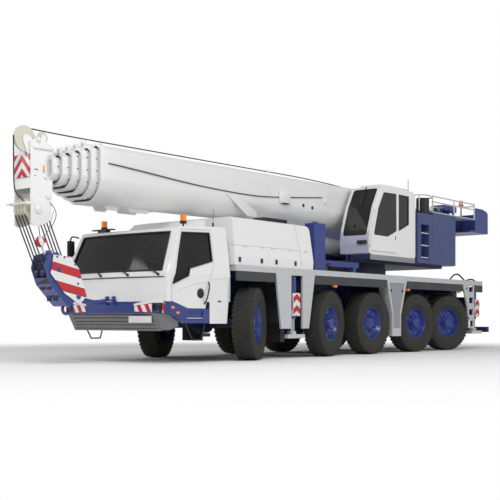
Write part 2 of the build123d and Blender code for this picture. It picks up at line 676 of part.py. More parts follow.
def build_bumper():
    """Curved front bumper, side step panels and the slotted chin panel below."""
    half = CAB_HALF
    corner_x, corner_y = CAB_CORNER
    mid_y = CAB_FRONT_Y - BUMPER_OUT
    inner = half - 60
    with BuildSketch() as plan:
        with BuildLine():
            ThreePointArc((-corner_x, corner_y - BUMPER_OUT), (0, mid_y), (corner_x, corner_y - BUMPER_OUT))
            Polyline((corner_x, corner_y - BUMPER_OUT), (half, CAB_SIDE_Y), (half, STEP_REAR_Y),
                     (inner, STEP_REAR_Y), (inner, -2100), (-inner, -2100), (-inner, STEP_REAR_Y),
                     (-half, STEP_REAR_Y), (-half, CAB_SIDE_Y), (-corner_x, corner_y - BUMPER_OUT))
        make_face()
    full = extrude(Plane.XY.offset(STEP_LOW_Z) * plan.sketch, amount=BUMPER_Z[1] - STEP_LOW_Z)
    # the front part stops higher than the side steps
    full -= side_prism([(-2600, BUMPER_Z[0]), (-2250, BUMPER_Z[0]), (-1900, STEP_LOW_Z), (-1900, 600), (-2600, 600)],
                       -1400, 1400)
    # room below the doors' lower edge
    (y0, z0), (y1, z1) = DOOR_OUTLINE[0], DOOR_OUTLINE[-1]
    under = GAP + 1
    full -= side_prism([(y0, z0 - under), (y1, z1 - under), (STEP_REAR_Y + 60, z1 - under), (STEP_REAR_Y + 60, 1200),
                        (y0, 1200)], -1400, 1400)
    # recessed tread in each side step
    for side in (1, -1):
        full -= block((side * (half - 25), side * (half + 5)), (-1831, -1423), (740, 900))
        full += cross_step(side * (half - 12))
    chin = side_prism([(mid_y + 45, BUMPER_Z[0]), (-2240, 560), (-2190, 560), (mid_y + 150, BUMPER_Z[0])], -1080, 1080)
    for z in (600, 660, 720, 780, 840):
        chin -= block((-1000, 1000), (-2500, -2215 - (z - 560) * 0.3), (z - 6, z + 6))
    wrap = chin_end()
    for side in (1, -1):
        chin += on_side(wrap, side)
    for x, z, radius in BUMPER_LAMPS:
        for sign in (1, -1):
            full -= rod((sign * x, LAMP_Y, z), (sign * x, LAMP_Y - 200, z), radius + 4)
    save("front_bumper", full, chin)


def chin_end():
    """The chin panel's left end, which bends back round the corner below the side step."""
    upper = [(1060, -2385), (1150, -2350), (1250, -2200), (1268, -1990), (1238, -1990), (1215, -2185), (1130, -2300),
             (1060, -2330)]
    lower = [(1060, -2245), (1120, -2215), (1190, -2110), (1205, -1960), (1175, -1960), (1160, -2095), (1100, -2165),
             (1060, -2195)]
    faces = [Plane.XY.offset(z) * make_face(Polyline(*ring, close=True)) for z, ring in ((575, lower), (855, upper))]
    end = loft(faces, ruled=True)
    # clear of the side step's sloping edge, and cut away towards its own end
    end -= side_prism([(-2300, 855), (-2250, 850), (-1900, STEP_LOW_Z - 10), (-1900, 1000), (-2300, 1000)], 1000, 1400)
    end -= side_prism([(-2150, 570), (-1900, 660), (-1900, 500), (-2150, 500)], 1000, 1400)
    return end


def cross_step(x):
    """Round bar across a side step's recess."""
    return rod((x, -1840, 775), (x, -1415, 775), 9)


def roof_z(y):
    """Height of the carrier cab's roof at a value of y behind its break."""
    return CAB_TOP_Z - ROOF_FALL * (CAB_REAR_Y - y) / (CAB_REAR_Y - ROOF_BREAK_Y)


def beacon(x, y):
    """Beacon with its base, on the carrier cab's roof."""
    base = roof_z(y) + 1.3
    body = rod((x, y, base), (x, y, base + 70), 14)
    body += rod((x, y, base + 60), (x, y, base + 105), 60)
    lens = rod((x, y, base + 105 + SEAT), (x, y, base + 220), 54)
    return [body, lens]


def build_fittings():
    """Lamps, beacons, roof unit and hanging side steps of the carrier."""
    pieces = beacon(1000, -1600) + beacon(-1000, -1600)
    # air unit on the roof
    unit = [(-1250, roof_z(-1250) + SEAT), (-760, roof_z(-760) + SEAT), (-760, 2560), (-1050, 2540)]
    pieces.append(side_prism(unit, -760, 760, {2: 30, 3: 30}))
    for x, z, radius in BUMPER_LAMPS:
        pieces += pair(rod((x, LAMP_Y - SEAT, z), (x, LAMP_Y - 40, z), radius))
    # the hanging step under each side step
    x = CAB_HALF - 20
    low = STEP_LOW_Z - SEAT
    ladder = bent_rod([(x, -1855, low), (x, -1675, 403), (x, -1450, 403), (x, -1352, low)], 13)
    pieces += pair(ladder - block((-1400, 1400), (-1900, -1300), (low, 800)))
    # amber side lamps under the fender strips and red lamps at the rear
    for y in (2600, 5600, 8150):
        pieces += pair(block((HALF - 60, HALF - 8), (y - 50, y + 50), (FENDER_Z - 42, FENDER_Z - SEAT)))
    for x in (720, 1010):
        pieces += pair(block((x, x + 260), (DECK_Y[1] + SEAT, DECK_Y[1] + 60), (RAIL_Z + 5, RAIL_Z + 100)))
    save("fittings", pieces)


# Engine housing and deck equipment

def housing_form(inset):
    """The engine housing's outer form, or the same form with every wall moved in by inset."""
    half = HOUSING_HALF - inset
    top_half = HOUSING_TOP_HALF - inset
    top = HOUSING_Z - inset
    low = DECK_Z[1] + SEAT
    front_line = [(-half, low), (half, low), (half, HOUSING_KNEE_Z), (top_half, top), (-top_half, top),
                  (-half, HOUSING_KNEE_Z)]
    side_line = [(HOUSING_Y[0] + inset, low), (HOUSING_Y[1] - inset, low), (HOUSING_TOP_Y[1] - inset, top),
                 (HOUSING_TOP_Y[0] + inset, top), (HOUSING_Y[0] + inset, HOUSING_KNEE_Z)]
    form = front_prism(front_line, HOUSING_Y[0] - 10, HOUSING_TOP_Y[1] + 10, {3: 60 - inset, 4: 60 - inset})
    return form & side_prism(side_line, -HALF, HALF, {2: 110 - inset})


def build_housing():
    """Hollow engine housing with its cover seams, and the engine inside it."""
    outer = housing_form(0)
    t = HOUSING_WALL
    shell = outer - (housing_form(t) + block((t - HOUSING_HALF, HOUSING_HALF - t),
                                             (HOUSING_Y[0] + t, HOUSING_Y[1] - t), (DECK_Z[1], DECK_Z[1] + 60)))
    skin = outer - housing_form(SEAM)
    wide = (-HALF, HALF)
    half = SEAM / 2
    seams = block(wide, (HOUSING_Y[0] - 10, SEAM_Y[1]), (SEAM_Z - half, SEAM_Z + half))
    seams += block(wide, (SEAM_Y[1] - half, SEAM_Y[1] + half), (DECK_Z[1] + 40, HOUSING_Z + 10))
    seams += block(wide, (SEAM_Y[0] - half, SEAM_Y[0] + half), (DECK_Z[1] + 40, SEAM_Z))
    shell -= skin & seams
    rest = block((-200, 200), REST_Y, (HOUSING_Z - 5, boom_belly(REST_Y[0]) - REST_GAP))
    intake = block((640, 900), (800, 1550), (HOUSING_Z + SEAT, HOUSING_Z + 110))
    save("engine_housing", shell + rest, intake)
    engine = block((-450, 450), (-200, 1500), (DECK_Z[1] + SEAT, 2450))
    save("engine_block", engine)


def build_deck_tanks():
    """Upright tank behind the housing, and the long beam beside the luffing cylinder."""
    x0, x1 = TANK_X
    y0, y1 = TANK_Y
    low = DECK_Z[1] + SEAT
    corners = {0: 35, 1: 35, 2: 35, 3: 35}
    tank = plan_prism([(x0, y0), (x1, y0), (x1, y1), (x0, y1)], low, TANK_Z, corners)
    for z in (TANK_Z - 120, TANK_Z - 420, TANK_Z - 720):
        tank -= block((x0, x1), TANK_Y, (z - 4, z + 4)) - block((x0 + 6, x1 - 6), (y0 + 6, y1 - 6), (z - 5, z + 5))
    tank += rod(((x0 + x1) / 2, (y0 + y1) / 2, TANK_Z - 5), ((x0 + x1) / 2, (y0 + y1) / 2, TANK_Z + 40), 55)
    beam = block((930, 1060), (TANK_Y[1] + 30, 3950), (1870, 1985))
    for y in (2700, 3800):
        beam += block((940, 1050), (y - 60, y + 60), (low, 1880))
    save("deck_tanks", tank, beam)


# Superstructure

def build_turntable():
    """Slewing platform, boom bearer plates, tail frame and the ring's upper half."""
    table = Pos(0, SLEW_Y, 0) * rod((0, 0, RING_TOP_Z + 0.5), (0, 0, TABLE_Z[0] + 10), SLEW_R - 20)
    table += block((-TABLE_HALF, TABLE_HALF), TABLE_Y, TABLE_Z)
    y, z = BOOM_PIVOT
    end = TAIL_Y + 10
    plate = [(4300, TABLE_Z[1] - 5), (4300, 2300), (5600, 2600), (y - 500, z + 120), (y - 200, z + 300),
             (y + 250, z + 300), (y + 900, z + 250), (end, z + 100), (end, z - 160), (y + 950, z - 300),
             (TABLE_Y[1], TABLE_Z[1] - 5)]
    for side in (1, -1):
        table += side_prism(plate, side * SIDE_PLATE_X[0], side * SIDE_PLATE_X[1], {1: 60, 3: 200, 4: 150, 5: 100})
    # cross plate behind the sweep of the boom's tail
    cross_y = y + BOOM_TAIL_R + 40
    table += block((-SIDE_PLATE_X[0] - 5, SIDE_PLATE_X[0] + 5), (cross_y, cross_y + 50), (TABLE_Z[1] - 5, z - 100))
    # boom foot pin and luffing cylinder pin
    table += cross_rod(SIDE_PLATE_X[1] + 25, y, z, PIN_R)
    table += cross_rod(SIDE_PLATE_X[1], LUFF_FOOT[0], LUFF_FOOT[1], PIN_R)
    table += build_tail()
    # arm that carries the crane cab
    table += block((SIDE_PLATE_X[1] - 10, CC_X[1] - 30), (4350, 5900), (CC_SILL_Z, CC_FLOOR_Z - SEAT))
    table += block((700, 1200), (4600, 5700), (TABLE_Z[1] - 20, CC_SILL_Z + 15))
    drums = []
    for y, z in WINCHES:
        drum = cross_rod(WINCH_HALF, y, z, WINCH_R)
        drum += cross_rod(SIDE_PLATE_X[0] - SEAT, y, z, PIN_R)
        for side in (1, -1):
            drum += rod((side * (WINCH_HALF - 30), y, z), (side * WINCH_HALF, y, z), WINCH_FLANGE_R)
        drums.append(drum)
    save("turntable", table, drums)


def build_tail():
    """Guard across the machine's tail with its two side plates and the floor in front of it."""
    rear = TAIL_Y + TAIL_T
    guard = front_prism([(-TAIL_HALF, TAIL_Z[0]), (TAIL_HALF, TAIL_Z[0]), (TAIL_HALF, TAIL_Z[1] - 90),
                         (-TAIL_HALF, TAIL_Z[1] - 90)], TAIL_Y, rear)
    side = [(TAIL_SIDE_Y, TAIL_Z[0]), (rear, TAIL_Z[0]), (rear, TAIL_Z[1] - 60), (rear - 330, TAIL_Z[1]),
            (TAIL_SIDE_Y, TAIL_Z[1])]
    for sign in (1, -1):
        wing = side_prism(side, TAIL_HALF - 40, TAIL_HALF, {2: 120, 3: 150, 4: 60})
        guard += on_side(wing, sign)
    guard += block((-TAIL_HALF, TAIL_HALF), (8900, TAIL_Y + 10), (TAIL_Z[0], TAIL_Z[0] + 40))
    return guard


def build_ballast():
    """Two stacks of slabs, one on each side of the boom's foot, with the ladder in the left one."""
    cut = BALLAST_CUT
    y0, y1 = BALLAST_Y
    face = [(BALLAST_IN, y0), (BALLAST_OUT, y0), (BALLAST_OUT, y1 - cut), (BALLAST_OUT - cut, y1), (BALLAST_IN, y1)]
    stack = plan_prism(face, *BALLAST_Z)
    stack -= block((BALLAST_IN - 1, BALLAST_OUT + 1), (y0 - 1, RAILING_Y[0]), (BALLAST_Z[1] - 60, BALLAST_Z[1] + 1))
    stack -= block((BALLAST_OUT - SLAB_SEAM, BALLAST_OUT + 1),
                   (RAILING_Y[0] - SLAB_SEAM, RAILING_Y[0]), (BALLAST_Z[0] - 1, BALLAST_Z[1] + 1))
    left = stack - block((BALLAST_OUT - LADDER_DEEP, BALLAST_OUT + 1), LADDER_Y, LADDER_Z)
    for z in LADDER_STEPS:
        x = BALLAST_OUT - 30
        left += rod((x, LADDER_Y[0] - 5, z), (x, LADDER_Y[1] + 5, z), RUNG_R)
    radius = (DRUM_Y[1] - DRUM_Y[0]) / 2
    x, y = BALLAST_OUT - radius - 25, (DRUM_Y[0] + DRUM_Y[1]) / 2
    drum = rod((x, y, BALLAST_Z[1] - 60 + SEAT), (x, y, DRUM_TOP_Z), radius)
    for z in range(3300, 3620, 50):
        drum -= pipe((x, y, z), (x, y, z + 16), radius + 5, radius - 9)
    save("ballast", left, mirrored(stack), drum)


def crane_cab_body(inset):
    """The crane cab's outer form, or the same form with every wall moved in by inset."""
    face = outline(CC_PROFILE)
    if inset:
        face = offset(face, amount=-inset, kind=Kind.INTERSECTION)
    return extrude(Plane.YZ.offset(CC_X[0] + inset) * face, amount=CC_X[1] - CC_X[0] - 2 * inset)


def build_crane_cab():
    """Hollow crane cab, its glass, its sliding door and its seat."""
    outer = crane_cab_body(0)
    shell = outer - crane_cab_body(CC_WALL)
    x0, x1 = CC_X
    face = offset(outline(CC_DOOR), amount=-60, kind=Kind.INTERSECTION)
    opening = extrude(Plane.YZ.offset(x1 - 200) * face, amount=210)
    rear_side = side_prism(CC_SIDE_WINDOW, x1 - 200, x1 + 10, {0: 25, 1: 40, 2: 40, 3: 40})
    inner_side = side_prism([(4230, 2700), (4520, 3500), (5700, 3500), (5700, 2700)], x0 - 10, x0 + 200)
    front = front_prism([(x0 + 70, 2590), (x1 - 60, 2590), (x1 - 60, 3650), (x0 + 70, 3650)], 3800, 4600,
                        {0: 50, 1: 50, 2: 50, 3: 50})
    roof = block((x0 + 120, x1 - 120), (4700, 5500), (CC_TOP_Z - 110, CC_TOP_Z + 90))
    back = block((x0 + 100, x1 - 100), (CC_REAR_Y - 100, CC_REAR_Y + 100), (2900, 3500))
    cuts = (rear_side, inner_side, front, roof, back)
    shell -= opening
    for cut in cuts:
        shell -= cut
    # slatted sill below the cab
    sill = block((x0 + 20, x1), (4050, 5980), (CC_SILL_Z - 25, CC_FLOOR_Z - 5)) - block(
        (x0, x1 - 25), (4000, 6000), (CC_SILL_Z - 30, CC_FLOOR_Z - 5))
    for z in (CC_SILL_Z, CC_SILL_Z + 40, CC_SILL_Z + 80):
        sill -= block((x1 - 8, x1 + 1), (4080, 5950), (z - 8, z + 8))
    save("crane_cab", shell + sill + block((x1 - 30, x1), (4050, 5980), (CC_FLOOR_Z - 10, CC_FLOOR_Z + 10)))
    band = crane_cab_body(10) - crane_cab_body(18)
    save("crane_cab_glass", [band & cut for cut in cuts])
    x = x1 + SEAT
    radii = {0: 40, 1: 40, 2: 40, 3: 40, 4: 40, 5: 40}
    door = side_prism(CC_DOOR, x, x + CC_DOOR_T) - side_prism(CC_DOOR_WINDOW, x - 1, x + 100, radii)
    save("crane_cab_door", door)
    save("crane_cab_door_glass", side_prism(CC_DOOR_WINDOW, x + 14, x + 22, radii))
    floor = CC_FLOOR_Z + CC_WALL
    middle = (x0 + x1) / 2
    seat = block((middle - 210, middle + 210), (4950, 5420), (floor, floor + 420))
    seat += side_prism([(5330, floor + 415), (5440, floor + 415), (5560, floor + 1150), (5460, floor + 1150)],
                       middle - 200, middle + 200)
    console = side_prism([(4200, floor), (4200, 2480), (4330, 2520), (4420, floor)], middle - 220, middle + 220)
    save("crane_cab_interior", seat, console)


def build_railings():
    """Walkway grids and handrails on the ballast, with the tail's beacon."""
    low = BALLAST_Z[1] + SEAT
    top = low + PLATFORM_T
    rail = top + RAILING_H
    x = HALF - 45
    y0, y1 = RAILING_Y
    solids = block((BALLAST_IN + 180, x + 20), (y0, y1), (low, top))
    for y in (y0 + 20, (y0 + y1) / 2, y1 - 20):
        solids += rod((x, y, top - 5), (x, y, rail), RAILING_R)
    for z in (rail - RAILING_R, rail - 150):
        solids += rod((x, y0, z), (x, y1, z), RAILING_R - 2)
    for y in (y0 + 20, y1 - 20):
        solids += rod((x, y, rail - 60), (x - 380, y, rail - 60), RAILING_R - 2)
        solids += rod((x - 380, y, top - 5), (x - 380, y, rail), RAILING_R)
    y = TAIL_SIDE_Y + 400
    floor = TAIL_Z[0] + 40 + SEAT
    stand = rod((700, y, floor), (700, y, 3760), 22) + rod((700, y, 3750), (700, y, 3790), 60)
    lens = rod((700, y, 3790 + SEAT), (700, y, 3900), 54)
    save("railings", pair(solids), stand, lens)


# Boom

def boom_tilt(shape):
    """Turn a level boom shape nose down about the boom's foot pin."""
    y, z = BOOM_PIVOT
    return shape.rotate(Axis((0, y, z), (1, 0, 0)), BOOM_SLOPE)


def section_outline(number, inset):
    """Outline (x, z) of a boom section, flat on top and rounded below."""
    half = BOOM_HALF_W - STEP_W * number - inset
    half_h = (BOOM_H - STEP_H * 2 * number) / 2 - inset
    top = BOOM_MID_Z + half_h
    low = BOOM_MID_Z - half_h
    shoulder = BOOM_MID_Z - 80
    bulge_z = shoulder * 0.35 + low * 0.65
    with BuildSketch() as sketch:
        with BuildLine():
            Polyline((-half, shoulder), (-half, top - 60), (60 - half, top), (half - 60, top), (half, top - 60),
                     (half, shoulder))
            ThreePointArc((half, shoulder), (half * 0.82, bulge_z), (half * 0.42, low))
            Line((half * 0.42, low), (-half * 0.42, low))
            ThreePointArc((-half * 0.42, low), (-half * 0.82, bulge_z), (-half, shoulder))
        make_face()
    return sketch.sketch


def section_ring(number, outward, inward, y0, y1):
    """Hollow length of a section, from outward of its skin to inward of it, between two values of y."""
    plane = Plane(origin=(0, y1, 0), x_dir=(1, 0, 0), z_dir=(0, -1, 0))
    return extrude(plane * (section_outline(number, -outward) - section_outline(number, inward)), amount=y1 - y0)


def collar_y(number):
    """Front face of a section's collar."""
    return COLLAR_Y - COLLAR_PITCH * number


def wear_pads(number):
    """Pads of one section's rear end, below, above and beside it, against the section around it."""
    pads = []
    inner_half = BOOM_HALF_W - STEP_W * number
    half_h = (BOOM_H - STEP_H * 2 * number) / 2
    span = (SECTION_REAR_Y - 200, SECTION_REAR_Y - 40)
    low = BOOM_MID_Z - half_h
    top = BOOM_MID_Z + half_h
    pad_out = inner_half * 0.38 - 5
    for side in (1, -1):
        wide = (side * 30, side * pad_out)
        pads.append(block(wide, span, (top - 5, top + STEP_H - WALL - SEAT)))
        pads.append(block(wide, span, (low + 5, low + WALL + SEAT - STEP_H)))
        pads.append(block((side * (inner_half - 5), side * (inner_half + STEP_W - WALL - SEAT)), span,
                          (BOOM_MID_Z + 40, BOOM_MID_Z + 160)))
    return pads


def base_section():
    """The base section with its collar, sleeve, foot, lug and the brackets on it."""
    y, z = BOOM_PIVOT
    base = section_ring(0, 0, WALL, COLLAR_Y, BOOM_REAR_Y)
    base += section_ring(0, COLLAR_OUT, WALL + 2, COLLAR_Y, COLLAR_Y + COLLAR_T)
    sleeve = section_ring(0, SLEEVE_OUT, 4, COLLAR_Y + COLLAR_T - 5, SLEEVE_Y)
    base += sleeve & block((-600, 600), (COLLAR_Y, SLEEVE_Y), (BOOM_MID_Z - 700, BOOM_MID_Z - 60))
    base += cross_rod(SIDE_PLATE_X[0] - GAP, y, z, PIN_R + 60)
    belly = BOOM_MID_Z - BOOM_H / 2
    ly, lz = LUFF_HEAD
    for side in (1, -1):
        lug = [(ly - 350, belly + WALL / 2), (ly + 350, belly + WALL / 2), (ly + 130, lz - 60), (ly + 60, lz - 130),
               (ly - 60, lz - 130), (ly - 130, lz - 60)]
        base += side_prism(lug, side * LUG_X[0], side * LUG_X[1])
        # struts beside the rest, and the foot brackets under the sleeve
        strut = [(186, belly + 400), (420, belly + 400), (1109, belly + 120), (1109, belly + 20), (824, belly + 20)]
        base += side_prism(strut, side * (BOOM_HALF_W - 5), side * (BOOM_HALF_W + 18))
        for low_y, high_y in ((-2668, -2318), (-2127, -1584)):
            foot = [(low_y, belly - 5), (high_y, belly - 5), (high_y - 60, belly - 100), (low_y + 60, belly - 100)]
            base += side_prism(foot, side * 130, side * 160)
    # rope guides on top
    top = BOOM_MID_Z + BOOM_H / 2
    for y0 in (-1809, -1172):
        base += block((-120, 120), (y0 - 40, y0 + 40), (top - 5, top + 45))
    return base - cross_rod(600, y, z, PIN_R + SEAT)


def build_boom():
    """Base section, then each telescopic section, the last one with the head."""
    save("boom_section_1", boom_tilt(base_section()))
    for number in range(1, SECTIONS):
        front = collar_y(number)
        body = section_ring(number, 0, WALL, front, SECTION_REAR_Y)
        body += section_ring(number, COLLAR_OUT, WALL + 2, front, front + COLLAR_T)
        for pad in wear_pads(number):
            body += pad
        if number == SECTIONS - 1:
            body += boom_head(front)
        save(f"boom_section_{number + 1}", boom_tilt(body))


def boom_head(front):
    """Two cheek plates that carry the head's sheaves, with the plates between them."""
    cheek = [(front + 60, 3540), (front - 220, 3660), (HEAD_Y, 3560), (HEAD_Y, 2250), (HEAD_Y + 110, 2230),
             (front + 20, 2330), (front + 60, 2800)]
    cheek = [(y, z + HEAD_RISE) for y, z in cheek]
    radii = {1: 60, 2: 60, 3: 40, 4: 60, 5: 120}
    head = side_prism(cheek, HEAD_HALF, HEAD_HALF + CHEEK_T, radii)
    head += side_prism(cheek, -HEAD_HALF - CHEEK_T, -HEAD_HALF, radii)
    out = HEAD_HALF + CHEEK_T
    top = 3560 + HEAD_RISE
    # front board, closed above, with a window of two panes below it
    head += block((-out, out), (HEAD_Y - 6, HEAD_Y + 12), (HEAD_PLATE_Z, top))
    head += block((-out, out), (front - 40, front + 60), (HEAD_PLATE_Z, top))
    y, z = TOP_SHEAVE
    ear = [(HEAD_Y, z - 330), (y - 50, z - 50), (y - 50, z + 50), (y + 50, z + 60), (HEAD_Y + 130, z - 40),
           (HEAD_Y + 10, z - 330)]
    x0, x1 = TOP_SHEAVE_X - SHEAVE_T / 2, TOP_SHEAVE_X + SHEAVE_T / 2
    for x in (x0 - 17, x1 + 3):
        head += side_prism(ear, x, x + 14)
    head -= rod((x0 - 3, y, z), (x1 + 3, y, z), SHEAVE_R + 8)
    # ears of the rear guide sheave and the guard rods over the cheeks
    y, z = BACK_SHEAVE
    x0, x1 = TOP_SHEAVE_X - SHEAVE_T / 2, TOP_SHEAVE_X + SHEAVE_T / 2
    ear = [(y - 60, top - 40), (y + 60, top - 40), (y + 40, z + 40), (y - 40, z + 40)]
    for x in (x0 - 17, x1 + 3):
        head += side_prism(ear, x, x + 14)
    z = 3469 + HEAD_RISE
    for side in (1, -1):
        head += rod((side * (out + 10), HEAD_Y + 60, z), (side * (out + 10), front + 40, z), 14)
    return head


def build_head_sheaves():
    """The head's upper and lower sheaves on their pins."""
    y, z = HEAD_SHEAVE
    half = SHEAVE_T / 2
    lower = cross_rod(HEAD_HALF - SEAT, y, z, 40)
    for x in SHEAVE_X:
        lower += grooved_sheave(x - half, x + half, y, z, SHEAVE_R)
    x0, x1 = TOP_SHEAVE_X - half, TOP_SHEAVE_X + half
    pieces = [lower]
    for (y, z), radius in ((TOP_SHEAVE, SHEAVE_R), (BACK_SHEAVE, BACK_SHEAVE_R)):
        pin = rod((x0 - 3 + SEAT, y, z), (x1 + 3 - SEAT, y, z), 30)
        pieces.append(pin + grooved_sheave(x0, x1, y, z, radius))
    save("head_sheaves", [boom_tilt(item) for item in pieces])


def grooved_sheave(x0, x1, y, z, radius):
    """Sheave with a groove around its rim."""
    middle = (x0 + x1) / 2
    deep = ROPE_R * 1.4
    wheel_face = [(x0, 0), (x0, radius), (middle - ROPE_R, radius), (middle, radius - deep), (middle + ROPE_R, radius),
                  (x1, radius), (x1, 0)]
    disc = revolve(Plane.XZ * make_face(Polyline(*wheel_face, close=True)), axis=Axis.X)
    return Pos(0, y, z) * disc


def build_hook():
    """Hook block on its rope falls, drawn as it hangs tied back."""
    head_y, head_z = turned(*HEAD_SHEAVE)
    y, z = HOOK_SHEAVE
    run = hypot(y - head_y, z - head_z)
    along = ((y - head_y) / run, (z - head_z) / run)
    across = (-along[1], along[0])
    reach = SHEAVE_R + ROPE_SEAT
    wide = SHEAVE_R + ROPE_R + 30
    inner = HOOK_HALF - HOOK_PLATE_T - 30
    body = side_prism(HOOK_CASE, -HOOK_HALF + HOOK_PLATE_T, HOOK_HALF - HOOK_PLATE_T, {4: 60, 5: 60, 6: 60, 7: 120})
    slot = [(y + across[0] * wide, z + across[1] * wide), (y - across[0] * wide, z - across[1] * wide),
            (y - across[0] * wide - along[0] * 900, z - across[1] * wide - along[1] * 900),
            (y + across[0] * wide - along[0] * 900, z + across[1] * wide - along[1] * 900)]
    body -= side_prism(slot, -inner, inner) + cross_rod(inner, y, z, wide)
    for side in (1, -1):
        body += side_prism(HOOK_PLATE, side * (HOOK_HALF - HOOK_PLATE_T - 1), side * HOOK_HALF)
    body += cross_rod(HOOK_HALF + 8, y, z, 40)
    for x in SHEAVE_X:
        body += grooved_sheave(x - SHEAVE_T / 2, x + SHEAVE_T / 2, y, z, SHEAVE_R)
    # ropes beside the sheaves, from the head down to the block
    for x in SHEAVE_X:
        for sign in (1, -1):
            dy, dz = across[0] * reach * sign, across[1] * reach * sign
            low = SHEAVE_R - 2
            ly, lz = across[0] * low * sign, across[1] * low * sign
            body += rod((x, head_y + dy, head_z + dz), (x, y + ly, z + lz), ROPE_R)
    # shank and hook
    ey, ez = HOOK_EYE
    body += block((-70, 70), (ey - 70, ey + 70), (ez + HOOK_RING_R, ez + 260))
    plane = Plane(origin=(0, ey, ez), x_dir=(0, 1, 0), z_dir=(1, 0, 0))
    body += plane * Torus(HOOK_RING_R, HOOK_BAR_R)
    save("hook_block", body)


def build_luffing_cylinder():
    """Barrel on the turntable and rod on the boom, drawn in line at rest."""
    foot = Vector(0, *LUFF_FOOT)
    head = Vector(0, *turned(*LUFF_HEAD))
    way = (head - foot).normalized()
    start = foot + way * 230
    end = head - way * 340
    barrel = pipe(start, end, LUFF_BARREL_R, LUFF_ROD_R + SEAT)
    barrel += rod(foot + way * 190, start + way * 40, LUFF_BARREL_R)
    barrel += cross_rod(120, foot.Y, foot.Z, 200)
    barrel -= cross_rod(600, foot.Y, foot.Z, PIN_R + SEAT)
    save("luffing_barrel", barrel)
    stem = rod(start + way * 60, head, LUFF_ROD_R)
    stem += cross_rod(LUG_X[0] - SEAT, head.Y, head.Z, LUFF_EYE_R)
    save("luffing_rod", stem)


def boom_belly(y):
    """Height of the tilted boom's flat belly at a value of y."""
    return BOOM_MID_Z - BOOM_H / 2 - tan(radians(BOOM_SLOPE)) * (BOOM_PIVOT[0] - y)


os.makedirs("parts", exist_ok=True)
build_running_gear()
build_chassis()
build_deck()
build_side_panels()
build_outriggers()
build_carrier_cab()
build_cab_interior()
build_bumper()
build_fittings()
build_housing()
build_deck_tanks()
build_turntable()
build_ballast()
build_crane_cab()
build_railings()
build_boom()
build_head_sheaves()
build_hook()
build_luffing_cylinder()
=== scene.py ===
"""Dresses the five-axle mobile crane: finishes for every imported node, and pieces that only the render needs.

Sizes are metres. A place is written with y measured from the first axle, as the source of the part
does, and SHIFT_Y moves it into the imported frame. +Z is up, -Y the front and +X the machine's left.
"""
import logging
import math
from dataclasses import dataclass
from enum import Enum
from typing import Callable, Iterable, Optional, Sequence

import bpy
import numpy as np
from mathutils import Matrix, Vector


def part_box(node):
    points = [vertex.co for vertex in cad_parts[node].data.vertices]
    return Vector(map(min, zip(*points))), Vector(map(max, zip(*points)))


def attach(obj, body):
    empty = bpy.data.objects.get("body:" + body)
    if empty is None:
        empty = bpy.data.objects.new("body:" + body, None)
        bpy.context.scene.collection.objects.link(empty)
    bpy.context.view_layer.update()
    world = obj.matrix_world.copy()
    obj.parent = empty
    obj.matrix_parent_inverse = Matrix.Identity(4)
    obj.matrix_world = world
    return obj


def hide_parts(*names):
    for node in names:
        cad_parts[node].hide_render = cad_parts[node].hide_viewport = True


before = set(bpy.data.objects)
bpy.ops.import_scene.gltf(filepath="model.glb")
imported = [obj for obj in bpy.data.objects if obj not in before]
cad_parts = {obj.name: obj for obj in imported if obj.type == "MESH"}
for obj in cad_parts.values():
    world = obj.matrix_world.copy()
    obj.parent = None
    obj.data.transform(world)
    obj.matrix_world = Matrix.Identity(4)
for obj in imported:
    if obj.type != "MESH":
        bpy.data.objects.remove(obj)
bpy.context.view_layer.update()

SHIFT_Y = -2.70492
EDGE_ANGLE = math.radians(40)
RING_ANGLE = math.radians(35)
TUBE_ANGLE = math.radians(50)
Point = tuple[float, float, float]
Pair = tuple[float, float]
Colour = tuple[float, float, float]

log = logging.getLogger("crane")


# Finishes

class Finish(Enum):
    """Named finishes of the crane's surfaces."""

    WHITE = "white_paint"
    BLUE = "blue_paint"
    NAVY = "navy_paint"
    GREY = "light_grey_paint"
    DARK_GREY = "dark_grey_strip"
    DARK_CHEQUER = "dark_chequer_plate"
    CHEQUER = "chequer_plate"
    CREAM = "cream_sheave"
    CAST = "cast_axle"
    RUBBER = "tyre_rubber"
    RIM = "rim_paint"
    BLACK = "black_plastic"
    TRIM = "interior_trim"
    CLOTH = "seat_cloth"
    GLASS = "dark_glass"
    CRANE_GLASS = "grey_glass"
    CHROME = "chrome_rod"
    STEEL = "bare_steel"
    ROPE = "steel_rope"
    DRUM = "rope_on_drum"
    MESH = "black_mesh"
    AMBER = "amber_lens"
    RED_LENS = "red_lens"
    PLATE = "blank_plate"
    RED = "red_film"
    CHEVRON = "chevron_board"
    STRIPES = "slanted_stripes"
    HOOK_STRIPES = "hook_stripes"
    HOSE = "black_hose"
    CHIN = "dull_grey_metal"
    BALLAST = "ballast_blue_paint"
    LAMP = "dark_lamp_glass"
    # Painted shade: a pale blue-grey put on the crane cab's lower front faces, which turn away from the light.
    LAVENDER = "pale_blue_grey_painted_front_shade"
    SILL = "mid_grey_paint"


